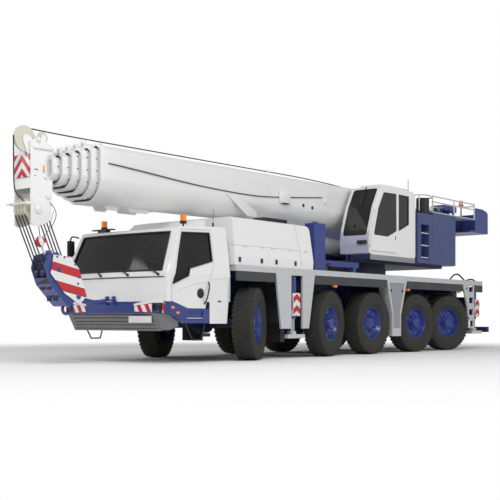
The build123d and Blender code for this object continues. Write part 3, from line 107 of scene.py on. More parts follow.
class ShaderBench:
    """Builds one node material at a time around a Principled BSDF."""

    def __init__(self, name: str) -> None:
        """Start a material.

        Args:
            name: Name of the new material.
        """
        self.material = bpy.data.materials.new(name)
        self.material.use_nodes = True
        self.tree = self.material.node_tree
        self.shader = self.tree.nodes["Principled BSDF"]

    def node(self, kind: str, **settings: object) -> bpy.types.Node:
        """Add a node.

        Args:
            kind: Blender's name of the node type.
            **settings: Properties set on the node.

        Returns:
            The new node.
        """
        made = self.tree.nodes.new(kind)
        for key, value in settings.items():
            setattr(made, key, value)
        return made

    def link(self, source: bpy.types.NodeSocket, target: bpy.types.NodeSocket) -> None:
        """Join two sockets."""
        self.tree.links.new(source, target)

    def group(self, tree: bpy.types.NodeTree, **values: object) -> bpy.types.Node:
        """Place a node group and set its inputs.

        Args:
            tree: The group's tree.
            **values: Values by input name, with underscores for spaces.

        Returns:
            The group node.
        """
        made = self.node("ShaderNodeGroup", node_tree=tree)
        for key, value in values.items():
            made.inputs[key.replace("_", " ")].default_value = value
        return made

    def constant(self, **values: object) -> None:
        """Set sockets of the shader that are the same all over the surface."""
        for key, value in values.items():
            self.shader.inputs[key.replace("_", " ")].default_value = value

    def bump(self, height: bpy.types.NodeSocket, strength: float, distance: float) -> None:
        """Lead a height to the shader's normal.

        Args:
            height: Socket that gives the height.
            strength: Strength of the bump, 0 to 1.
            distance: Depth that a height of 1 stands for, in metres.
        """
        made = self.node("ShaderNodeBump")
        made.inputs["Strength"].default_value = strength
        made.inputs["Distance"].default_value = distance
        self.link(height, made.inputs["Height"])
        self.link(made.outputs["Normal"], self.shader.inputs["Normal"])


class GroupBench:
    """Builds one shader node group with named inputs and outputs."""

    def __init__(self, name: str) -> None:
        """Start a group.

        Args:
            name: Name of the group.
        """
        self.tree = bpy.data.node_groups.new(name, "ShaderNodeTree")
        self.entry = self.tree.nodes.new("NodeGroupInput")
        self.exit = self.tree.nodes.new("NodeGroupOutput")

    def add_input(self, name: str, kind: str, value: object) -> None:
        """Add an input socket with its default value."""
        socket = self.tree.interface.new_socket(name=name, in_out="INPUT", socket_type=kind)
        socket.default_value = value

    def add_output(self, name: str, kind: str) -> None:
        """Add an output socket."""
        self.tree.interface.new_socket(name=name, in_out="OUTPUT", socket_type=kind)

    def node(self, kind: str, **settings: object) -> bpy.types.Node:
        """Add a node with its properties set."""
        made = self.tree.nodes.new(kind)
        for key, value in settings.items():
            setattr(made, key, value)
        return made

    def link(self, source: bpy.types.NodeSocket, target: bpy.types.NodeSocket) -> None:
        """Join two sockets."""
        self.tree.links.new(source, target)

    def math(self, operation: str, first: object, second: object = None) -> bpy.types.NodeSocket:
        """Add a math node.

        Args:
            operation: Name of the operation.
            first: A socket or a number.
            second: A socket, a number or nothing.

        Returns:
            The node's output.
        """
        made = self.node("ShaderNodeMath", operation=operation)
        for socket, value in zip(made.inputs, (first, second)):
            if isinstance(value, bpy.types.NodeSocket):
                self.link(value, socket)
            elif value is not None:
                socket.default_value = value
        return made.outputs[0]

    def place(self) -> dict[str, bpy.types.NodeSocket]:
        """The surface point's own coordinates x, y and z."""
        coordinates = self.node("ShaderNodeTexCoord")
        split = self.node("ShaderNodeSeparateXYZ")
        self.link(coordinates.outputs["Object"], split.inputs[0])
        return {"x": split.outputs["X"], "y": split.outputs["Y"], "z": split.outputs["Z"]}


def grain_group() -> bpy.types.NodeTree:
    """Fine grain, soft clouds of dust and a change of gloss, for every painted or moulded surface."""
    bench = GroupBench("grain_and_dust")
    bench.add_input("Base", "NodeSocketColor", (0.8, 0.8, 0.8, 1))
    bench.add_input("Dust", "NodeSocketColor", (0.5, 0.48, 0.44, 1))
    bench.add_input("Dust Amount", "NodeSocketFloat", 0.05)
    bench.add_input("Cloud Scale", "NodeSocketFloat", 1.4)
    bench.add_input("Grain Scale", "NodeSocketFloat", 220.0)
    bench.add_input("Roughness", "NodeSocketFloat", 0.35)
    bench.add_input("Gloss Change", "NodeSocketFloat", 0.1)
    bench.add_output("Colour", "NodeSocketColor")
    bench.add_output("Roughness", "NodeSocketFloat")
    bench.add_output("Grain", "NodeSocketFloat")
    inputs = bench.entry.outputs
    coordinates = bench.node("ShaderNodeTexCoord")
    cloud = bench.node("ShaderNodeTexNoise")
    cloud.inputs["Detail"].default_value = 6.0
    bench.link(coordinates.outputs["Object"], cloud.inputs["Vector"])
    bench.link(inputs["Cloud Scale"], cloud.inputs["Scale"])
    grain = bench.node("ShaderNodeTexNoise")
    grain.inputs["Detail"].default_value = 3.0
    bench.link(coordinates.outputs["Object"], grain.inputs["Vector"])
    bench.link(inputs["Grain Scale"], grain.inputs["Scale"])
    ramp = bench.node("ShaderNodeMapRange")
    ramp.inputs["From Min"].default_value = 0.4
    ramp.inputs["From Max"].default_value = 0.75
    bench.link(cloud.outputs["Fac"], ramp.inputs["Value"])
    amount = bench.math("MULTIPLY", ramp.outputs["Result"], inputs["Dust Amount"])
    mix = bench.node("ShaderNodeMix", data_type="RGBA")
    bench.link(amount, mix.inputs["Factor"])
    bench.link(inputs["Base"], mix.inputs["A"])
    bench.link(inputs["Dust"], mix.inputs["B"])
    bench.link(mix.outputs["Result"], bench.exit.inputs["Colour"])
    centred = bench.math("SUBTRACT", cloud.outputs["Fac"], 0.5)
    change = bench.math("MULTIPLY", centred, inputs["Gloss Change"])
    bench.link(bench.math("ADD", inputs["Roughness"], change), bench.exit.inputs["Roughness"])
    bench.link(grain.outputs["Fac"], bench.exit.inputs["Grain"])
    return bench.tree


def diamond_group() -> bpy.types.NodeTree:
    """Raised diamonds of chequer plate, on upright and level faces alike."""
    bench = GroupBench("raised_diamonds")
    bench.add_input("Pitch", "NodeSocketFloat", 0.04)
    bench.add_output("Height", "NodeSocketFloat")
    place = bench.place()
    turn = bench.math("DIVIDE", math.pi, bench.entry.outputs["Pitch"])
    across = bench.math("MULTIPLY", place["y"], turn)
    up = bench.math("MULTIPLY", bench.math("ADD", place["z"], place["x"]), turn)
    waves = bench.math("MULTIPLY", bench.math("SINE", across), bench.math("SINE", up))
    ramp = bench.node("ShaderNodeMapRange")
    ramp.inputs["From Min"].default_value = 0.35
    ramp.inputs["From Max"].default_value = 0.6
    bench.link(bench.math("ABSOLUTE", waves), ramp.inputs["Value"])
    bench.link(ramp.outputs["Result"], bench.exit.inputs["Height"])
    return bench.tree


def stripe_group() -> bpy.types.NodeTree:
    """Mask of straight or arrow-shaped stripes in the plane of two chosen directions."""
    bench = GroupBench("stripe_mask")
    bench.add_input("X Share", "NodeSocketFloat", 0.0)
    bench.add_input("Y Share", "NodeSocketFloat", 0.0)
    bench.add_input("Z Share", "NodeSocketFloat", 1.0)
    bench.add_input("Fold X", "NodeSocketFloat", 0.0)
    bench.add_input("Fold Slope", "NodeSocketFloat", 0.0)
    bench.add_input("Pitch", "NodeSocketFloat", 0.2)
    bench.add_input("Start", "NodeSocketFloat", 0.0)
    bench.add_output("Mask", "NodeSocketFloat")
    place = bench.place()
    inputs = bench.entry.outputs
    total = bench.math("MULTIPLY", place["x"], inputs["X Share"])
    total = bench.math("ADD", total, bench.math("MULTIPLY", place["y"], inputs["Y Share"]))
    total = bench.math("ADD", total, bench.math("MULTIPLY", place["z"], inputs["Z Share"]))
    away = bench.math("ABSOLUTE", bench.math("SUBTRACT", place["x"], inputs["Fold X"]))
    total = bench.math("ADD", total, bench.math("MULTIPLY", away, inputs["Fold Slope"]))
    total = bench.math("ADD", total, inputs["Start"])
    part = bench.math("FRACT", bench.math("DIVIDE", total, inputs["Pitch"]))
    bench.link(bench.math("GREATER_THAN", part, 0.5), bench.exit.inputs["Mask"])
    return bench.tree


@dataclass(frozen=True)
class Coat:
    """A paint, plastic, rubber or metal with grain, dust and a gloss that changes over the surface."""

    colour: Colour
    roughness: float = 0.35
    metallic: float = 0.0
    coat: float = 0.0
    dust: float = 0.05
    dust_colour: Colour = (0.5, 0.49, 0.46)
    cloud_scale: float = 1.4
    grain_scale: float = 220.0
    grain_depth: float = 0.0
    gloss_change: float = 0.1

    def build(self, name: str, grain: bpy.types.NodeTree) -> ShaderBench:
        """Make the material.

        Args:
            name: Name of the material.
            grain: The grain and dust group.

        Returns:
            The bench that holds the material, for more nodes.
        """
        bench = ShaderBench(name)
        made = bench.group(grain, Base=(*self.colour, 1), Dust=(*self.dust_colour, 1), Dust_Amount=self.dust,
                           Cloud_Scale=self.cloud_scale, Grain_Scale=self.grain_scale,
                           Roughness=self.roughness, Gloss_Change=self.gloss_change)
        bench.link(made.outputs["Colour"], bench.shader.inputs["Base Color"])
        bench.link(made.outputs["Roughness"], bench.shader.inputs["Roughness"])
        bench.constant(Metallic=self.metallic, Coat_Weight=self.coat, Coat_Roughness=0.08)
        if self.grain_depth:
            bench.bump(made.outputs["Grain"], 0.6, self.grain_depth)
        return bench


@dataclass(frozen=True)
class Stripes:
    """Two colours of reflecting film in stripes."""

    first: Colour = (0.83, 0.83, 0.83)
    second: Colour = (0.55, 0.012, 0.018)
    shares: Point = (0.0, 0.0, 1.0)
    fold_x: float = 0.0
    fold_slope: float = 0.0
    pitch: float = 0.2
    start: float = 0.0

    def build(self, name: str, stripes: bpy.types.NodeTree) -> ShaderBench:
        """Make the material.

        Args:
            name: Name of the material.
            stripes: The stripe mask group.

        Returns:
            The bench that holds the material.
        """
        bench = ShaderBench(name)
        made = bench.group(stripes, X_Share=self.shares[0], Y_Share=self.shares[1], Z_Share=self.shares[2],
                           Fold_X=self.fold_x, Fold_Slope=self.fold_slope, Pitch=self.pitch, Start=self.start)
        mix = bench.node("ShaderNodeMix", data_type="RGBA")
        mix.inputs["A"].default_value = (*self.first, 1)
        mix.inputs["B"].default_value = (*self.second, 1)
        bench.link(made.outputs["Mask"], mix.inputs["Factor"])
        bench.link(mix.outputs["Result"], bench.shader.inputs["Base Color"])
        bench.constant(Roughness=0.4, Coat_Weight=0.3)
        return bench


@dataclass(frozen=True)
class Lens:
    """Coloured lamp glass with fine ribs."""

    colour: Colour
    glow: float = 0.0

    def build(self, name: str, stripes: bpy.types.NodeTree) -> ShaderBench:
        """Make the material.

        Args:
            name: Name of the material.
            stripes: The stripe mask group.

        Returns:
            The bench that holds the material.
        """
        bench = ShaderBench(name)
        made = bench.group(stripes, X_Share=0.2, Y_Share=0.3, Z_Share=1.0, Pitch=0.012)
        bench.constant(Base_Color=(*self.colour, 1), Roughness=0.15, Coat_Weight=0.5,
                       Emission_Color=(*self.colour, 1), Emission_Strength=self.glow)
        bench.bump(made.outputs["Mask"], 0.25, 0.002)
        return bench


@dataclass(frozen=True)
class Pane:
    """Tinted window glass with a slight cloudiness."""

    colour: Colour
    transmission: float

    def build(self, name: str, grain: bpy.types.NodeTree) -> ShaderBench:
        """Make the material.

        Args:
            name: Name of the material.
            grain: The grain and dust group.

        Returns:
            The bench that holds the material.
        """
        bench = ShaderBench(name)
        made = bench.group(grain, Base=(*self.colour, 1), Dust_Amount=0.02, Roughness=0.06, Gloss_Change=0.05)
        bench.link(made.outputs["Colour"], bench.shader.inputs["Base Color"])
        bench.link(made.outputs["Roughness"], bench.shader.inputs["Roughness"])
        bench.constant(Metallic=0.0, Transmission_Weight=self.transmission, IOR=1.45)
        return bench


class FinishBook:
    """Every material of the scene, made once and looked up by its finish."""

    COATS: dict[Finish, Coat] = {
        Finish.WHITE: Coat((0.82, 0.82, 0.82), 0.3, coat=0.5, dust=0.03),
        Finish.BLUE: Coat((0.028, 0.05, 0.23), 0.32, coat=0.5, dust=0.05, dust_colour=(0.16, 0.2, 0.36)),
        Finish.NAVY: Coat((0.012, 0.017, 0.075), 0.4, coat=0.2, dust=0.1, dust_colour=(0.1, 0.1, 0.14)),
        Finish.GREY: Coat((0.55, 0.56, 0.58), 0.38, coat=0.2),
        Finish.DARK_GREY: Coat((0.045, 0.046, 0.05), 0.5, dust=0.12, dust_colour=(0.14, 0.14, 0.14)),
        Finish.CREAM: Coat((0.68, 0.66, 0.55), 0.4),
        Finish.CAST: Coat((0.015, 0.018, 0.06), 0.55, dust=0.25, dust_colour=(0.1, 0.1, 0.12),
                          grain_depth=0.002),
        Finish.RIM: Coat((0.018, 0.04, 0.235), 0.34, coat=0.4, dust=0.06, dust_colour=(0.12, 0.15, 0.3)),
        Finish.BLACK: Coat((0.012, 0.012, 0.013), 0.5, dust=0.08, dust_colour=(0.06, 0.06, 0.06),
                           grain_depth=0.0005),
        Finish.TRIM: Coat((0.03, 0.03, 0.033), 0.7, grain_depth=0.001),
        Finish.CLOTH: Coat((0.04, 0.042, 0.05), 0.9, grain_scale=600.0, grain_depth=0.002),
        Finish.CHROME: Coat((0.75, 0.76, 0.78), 0.12, metallic=1.0, dust=0.02),
        Finish.STEEL: Coat((0.5, 0.51, 0.53), 0.32, metallic=1.0, dust=0.1),
        Finish.PLATE: Coat((0.74, 0.74, 0.74), 0.45),
        Finish.RED: Coat((0.5, 0.012, 0.015), 0.4),
        Finish.HOSE: Coat((0.014, 0.014, 0.015), 0.55, grain_scale=400.0, grain_depth=0.0008),
        Finish.BALLAST: Coat((0.045, 0.066, 0.19), 0.4, coat=0.3, dust=0.08, dust_colour=(0.16, 0.18, 0.26)),
        # Painted shade: this pale blue-grey stands in for the shade on the crane cab's forward-facing lower
        # faces.
        Finish.LAVENDER: Coat((0.5, 0.52, 0.66), 0.35, coat=0.4),
        Finish.SILL: Coat((0.28, 0.29, 0.31), 0.45),
        Finish.LAMP: Coat((0.03, 0.03, 0.033), 0.1, coat=1.0, dust=0.0),
        Finish.RUBBER: Coat((0.026, 0.026, 0.022), 0.85, dust=0.3, dust_colour=(0.06, 0.058, 0.048),
                            cloud_scale=6.0, grain_depth=0.0015),
    }

    def __init__(self) -> None:
        """Build the shared groups and all materials."""
        self.grain = grain_group()
        self.diamonds = diamond_group()
        self.stripes = stripe_group()
        self.made: dict[Finish, bpy.types.Material] = {}
        for finish, coat in self.COATS.items():
            self.made[finish] = coat.build(finish.value, self.grain).material
        self.add_chequer(Finish.CHEQUER, (0.6, 0.61, 0.63), 0.05)
        self.add_chequer(Finish.CHIN, (0.2, 0.2, 0.21), 0.045)
        self.add_chequer(Finish.DARK_CHEQUER, (0.035, 0.036, 0.042), 0.05)
        self.made[Finish.GLASS] = Pane((0.018, 0.018, 0.02), 0.25).build("dark_glass", self.grain).material
        crane_pane = Pane((0.06, 0.06, 0.06), 0.45)
        self.made[Finish.CRANE_GLASS] = crane_pane.build("grey_glass", self.grain).material
        self.made[Finish.AMBER] = Lens((0.85, 0.22, 0.01), 0.25).build("amber_lens", self.stripes).material
        self.made[Finish.RED_LENS] = Lens((0.5, 0.01, 0.01), 0.1).build("red_lens", self.stripes).material
        self.add_stripes(Finish.CHEVRON, Stripes(shares=(0, 0, 1), fold_x=0.02, fold_slope=1.1, pitch=0.21))
        self.add_stripes(Finish.STRIPES, Stripes(shares=(1.0, 1.0, 0.55), pitch=0.19))
        self.add_stripes(Finish.HOOK_STRIPES, Stripes(shares=(0, 0.2, 1), pitch=0.29, start=0.772))
        self.add_ribbed(Finish.ROPE, Coat((0.06, 0.058, 0.055), 0.45, metallic=0.6), 0.02)
        self.add_ribbed(Finish.DRUM, Coat((0.12, 0.12, 0.12), 0.45, metallic=0.6), 0.022)
        self.add_mesh()

    def __getitem__(self, finish: Finish) -> bpy.types.Material:
        """The material of a finish."""
        return self.made[finish]

    def add_chequer(self, finish: Finish, colour: Colour, pitch: float) -> None:
        """Add a chequer plate material."""
        bench = Coat(colour, 0.42, metallic=0.3, dust=0.1).build(finish.value, self.grain)
        made = bench.group(self.diamonds, Pitch=pitch)
        bench.bump(made.outputs["Height"], 0.7, 0.004)
        self.made[finish] = bench.material

    def add_stripes(self, finish: Finish, stripes: Stripes) -> None:
        """Add a striped film material."""
        self.made[finish] = stripes.build(finish.value, self.stripes).material

    def add_ribbed(self, finish: Finish, coat: Coat, pitch: float) -> None:
        """Add a material with ribs side by side, such as rope on a drum."""
        bench = coat.build(finish.value, self.grain)
        made = bench.group(self.stripes, X_Share=1.0, Y_Share=0.35, Z_Share=0.35, Pitch=pitch)
        bench.bump(made.outputs["Mask"], 0.8, 0.005)
        self.made[finish] = bench.material

    def add_mesh(self) -> None:
        """Add black punched sheet."""
        bench = Coat((0.012, 0.012, 0.012), 0.6).build("black_mesh", self.grain)
        made = bench.group(self.diamonds, Pitch=0.022)
        bench.bump(made.outputs["Height"], 1.0, 0.006)
        self.made[Finish.MESH] = bench.material


# Modelling steps

class Bench:
    """Modelling steps by Blender's own operators, shared by all sub-assemblies."""

    def __init__(self, book: FinishBook) -> None:
        """Keep the materials.

        Args:
            book: The scene's materials.
        """
        self.book = book
        self.count = 0

    @staticmethod
    def activate(piece: bpy.types.Object) -> None:
        """Select one object alone and make it active."""
        bpy.ops.object.select_all(action="DESELECT")
        piece.select_set(True)
        bpy.context.view_layer.objects.active = piece

    def soften(self, piece: bpy.types.Object, width: float, segments: int = 2) -> None:
        """Bevel a piece's sharp edges.

        Args:
            piece: The object.
            width: Width of the bevel in metres.
            segments: Number of faces across the bevel.
        """
        if width <= 0:
            return
        self.activate(piece)
        bevel = piece.modifiers.new("soft_edges", "BEVEL")
        bevel.width = width
        bevel.segments = segments
        bevel.limit_method = "ANGLE"
        bpy.ops.object.modifier_apply(modifier=bevel.name)
        bpy.ops.object.shade_smooth_by_angle(angle=EDGE_ANGLE)

    def block(self, low: Point, high: Point, bevel: float = 0.004) -> bpy.types.Object:
        """A box between two corners with softened edges.

        Args:
            low: Lowest corner.
            high: Highest corner.
            bevel: Width of the softened edge.

        Returns:
            The new object.
        """
        bpy.ops.object.select_all(action="DESELECT")
        middle = [(a + b) / 2 for a, b in zip(low, high)]
        bpy.ops.mesh.primitive_cube_add(size=1.0, location=middle)
        piece = bpy.context.active_object
        piece.scale = [abs(b - a) for a, b in zip(low, high)]
        bpy.ops.object.transform_apply(location=True, rotation=True, scale=True)
        self.soften(piece, bevel)
        return piece

    def rod(self, start: Point, end: Point, radius: float, sides: int = 20, bevel: float = 0.002,
            end_radius: Optional[float] = None) -> bpy.types.Object:
        """A round bar between two points.

        Args:
            start: Middle of the first end.
            end: Middle of the second end.
            radius: Radius at the start.
            sides: Number of faces around.
            bevel: Width of the softened edge.
            end_radius: Radius at the end, the same where left out.

        Returns:
            The new object.
        """
        bpy.ops.object.select_all(action="DESELECT")
        way = Vector(end) - Vector(start)
        turn = way.to_track_quat("Z", "Y").to_euler()
        bpy.ops.mesh.primitive_cone_add(
            vertices=sides, radius1=radius, radius2=radius if end_radius is None else end_radius,
            depth=way.length, location=(Vector(start) + Vector(end)) / 2, rotation=turn)
        piece = bpy.context.active_object
        bpy.ops.object.transform_apply(location=True, rotation=True, scale=True)
        self.soften(piece, bevel)
        bpy.ops.object.select_all(action="DESELECT")
        piece.select_set(True)
        bpy.ops.object.shade_smooth_by_angle(angle=EDGE_ANGLE)
        return piece

    def plate(self, corners: Sequence[Point], way: Point, bevel: float = 0.002) -> bpy.types.Object:
        """A plate from its corners, pushed out along a direction.

        Args:
            corners: The corners of one face, in order.
            way: How far and where the face is extruded.
            bevel: Width of the softened edge.

        Returns:
            The new object.
        """
        bpy.ops.object.select_all(action="DESELECT")
        bpy.ops.mesh.primitive_circle_add(vertices=len(corners), radius=1.0, fill_type="NGON")
        piece = bpy.context.active_object
        for vertex, corner in zip(piece.data.vertices, corners):
            vertex.co = corner
        bpy.ops.object.mode_set(mode="EDIT")
        bpy.ops.mesh.select_all(action="SELECT")
        bpy.ops.mesh.extrude_region_move(TRANSFORM_OT_translate={"value": way})
        bpy.ops.mesh.select_all(action="SELECT")
        bpy.ops.mesh.normals_make_consistent(inside=False)
        bpy.ops.object.mode_set(mode="OBJECT")
        self.soften(piece, bevel)
        return piece

    def lathe(self, section: Sequence[Pair], steps: int = 48, centre: Point = (0, 0, 0)) -> bpy.types.Object:
        """A ring turned around a line along X.

        Args:
            section: Closed section as (x, radius) points.
            steps: Number of faces around.
            centre: A point of the axis.

        Returns:
            The new object.
        """
        bpy.ops.object.select_all(action="DESELECT")
        bpy.ops.mesh.primitive_circle_add(vertices=len(section), radius=1.0, fill_type="NOTHING")
        piece = bpy.context.active_object
        for vertex, (x, radius) in zip(piece.data.vertices, section):
            vertex.co = (centre[0] + x, centre[1], centre[2] + radius)
        bpy.ops.object.mode_set(mode="EDIT")
        bpy.ops.mesh.select_all(action="SELECT")
        bpy.ops.mesh.spin(steps=steps, angle=2 * math.pi, center=centre, axis=(1, 0, 0))
        bpy.ops.mesh.select_all(action="SELECT")
        bpy.ops.mesh.remove_doubles(threshold=0.0002)
        bpy.ops.mesh.normals_make_consistent(inside=False)
        bpy.ops.object.mode_set(mode="OBJECT")
        bpy.ops.object.shade_smooth_by_angle(angle=RING_ANGLE)
        return piece

    @staticmethod
    def line(points: Sequence[Point], smooth: bool = True) -> bpy.types.Object:
        """A curve object with one open spline through or near the points, not yet in the scene."""
        curve = bpy.data.curves.new("line", "CURVE")
        curve.dimensions = "3D"
        curve.resolution_u = 8
        spline = curve.splines.new("NURBS" if smooth else "POLY")
        spline.points.add(len(points) - 1)
        for target, point in zip(spline.points, points):
            target.co = (*point, 1.0)
        if smooth:
            spline.order_u = 3
            spline.use_endpoint_u = True
        return bpy.data.objects.new("line", curve)

    def cord(self, points: Sequence[Point], radius: float, name: str, body: str, finish: Finish,
             lay: str = "hanging", stiffness: str = "medium") -> bpy.types.Object:
        """A free cable or hose that goes back into the machine, built as a bent tube.

        Args:
            points: Control points of its one spline.
            radius: Radius of the cord.
            name: The piece's name.
            body: The body it rides on.
            finish: Its finish.

        Returns:
            The kept piece.
        """
        guide = self.line(points)
        mesh = bpy.data.meshes.new_from_object(guide)
        bpy.data.objects.remove(guide)
        bpy.data.meshes.remove(mesh)
        piece = self.keep(self.tube(points, radius), name, body, finish)
        return piece

    def tube(self, points: Sequence[Point], radius: float, smooth: bool = True) -> bpy.types.Object:
        """A bent round bar, hose or rope through points.

        Args:
            points: The points in order.
            radius: Radius of the bar.
            smooth: True for a line that rounds its corners.

        Returns:
            The new object, a mesh.
        """
        bpy.ops.object.select_all(action="DESELECT")
        piece = self.line(points, smooth)
        piece.data.bevel_depth = radius
        piece.data.bevel_resolution = 3
        piece.data.use_fill_caps = True
        bpy.context.scene.collection.objects.link(piece)
        self.activate(piece)
        bpy.ops.object.convert(target="MESH")
        piece = bpy.context.active_object
        bpy.ops.object.mode_set(mode="EDIT")
        bpy.ops.mesh.select_all(action="SELECT")
        bpy.ops.mesh.remove_doubles(threshold=0.0001)
        bpy.ops.mesh.normals_make_consistent(inside=False)
        bpy.ops.object.mode_set(mode="OBJECT")
        bpy.ops.object.shade_smooth_by_angle(angle=TUBE_ANGLE)
        return piece

    def join(self, pieces: Iterable[bpy.types.Object]) -> bpy.types.Object:
        """Join several objects into one.

        Args:
            pieces: The objects, at least one.

        Returns:
            The joined object.
        """
        items = list(pieces)
        bpy.ops.object.select_all(action="DESELECT")
        for item in items:
            item.select_set(True)
        bpy.context.view_layer.objects.active = items[0]
        if len(items) > 1:
            bpy.ops.object.join()
        return items[0]

    def copied(self, piece: bpy.types.Object, move: Matrix) -> bpy.types.Object:
        """A copy with its own mesh, moved by a matrix.

        Args:
            piece: The object to copy.
            move: The matrix its mesh is moved by.

        Returns:
            The copy.
        """
        twin = piece.copy()
        twin.data = piece.data.copy()
        bpy.context.scene.collection.objects.link(twin)
        twin.data.transform(move)
        if move.determinant() < 0:
            twin.data.flip_normals()
        return twin

    def around(self, piece: bpy.types.Object, number: int, centre: Point = (0, 0, 0)) -> bpy.types.Object:
        """A ring of copies around a line along X, joined.

        Args:
            piece: The object to repeat.
            number: How many there are in the ring.
            centre: A point of the axis.

        Returns:
            The joined ring.
        """
        middle = Vector(centre)
        ring = [piece]
        for step in range(1, number):
            turn = Matrix.Rotation(2 * math.pi * step / number, 4, "X")
            ring.append(self.copied(piece, Matrix.Translation(middle) @ turn @ Matrix.Translation(-middle)))
        return self.join(ring)

    def both_sides(self, piece: bpy.types.Object) -> bpy.types.Object:
        """A left piece joined with its mirror image."""
        return self.join([piece, self.copied(piece, Matrix.Scale(-1, 4, (1, 0, 0)))])

    def keep_all(self, pieces: Iterable[bpy.types.Object], name: str, body: str, finish: Finish,
                 slot: Optional[str] = None) -> bpy.types.Object:
        """Several objects joined and kept as one piece."""
        return self.keep(self.join(pieces), name, body, finish, slot)

    def keep_pair(self, pieces: Iterable[bpy.types.Object], name: str, body: str, finish: Finish,
                  slot: Optional[str] = None) -> bpy.types.Object:
        """Several left objects joined, mirrored and kept as one piece."""
        return self.keep(self.both_sides(self.join(pieces)), name, body, finish, slot)

    def keep(self, piece: bpy.types.Object, name: str, body: str, finish: Finish,
             slot: Optional[str] = None) -> bpy.types.Object:
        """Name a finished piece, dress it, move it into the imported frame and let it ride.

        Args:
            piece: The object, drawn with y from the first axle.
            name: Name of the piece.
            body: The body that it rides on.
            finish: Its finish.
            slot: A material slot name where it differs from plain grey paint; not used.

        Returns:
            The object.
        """
        piece.name = name
        piece.data.name = name
        piece.data.materials.clear()
        piece.data.materials.append(self.book[finish])
        piece.data.transform(Matrix.Translation((0, SHIFT_Y, 0)))
        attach(piece, body)
        self.count += 1
        log.info("piece %s on %s, %d faces", name, body, len(piece.data.polygons))
        return piece


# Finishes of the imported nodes

Rule = tuple[Finish, Callable[[np.ndarray, np.ndarray], np.ndarray]]


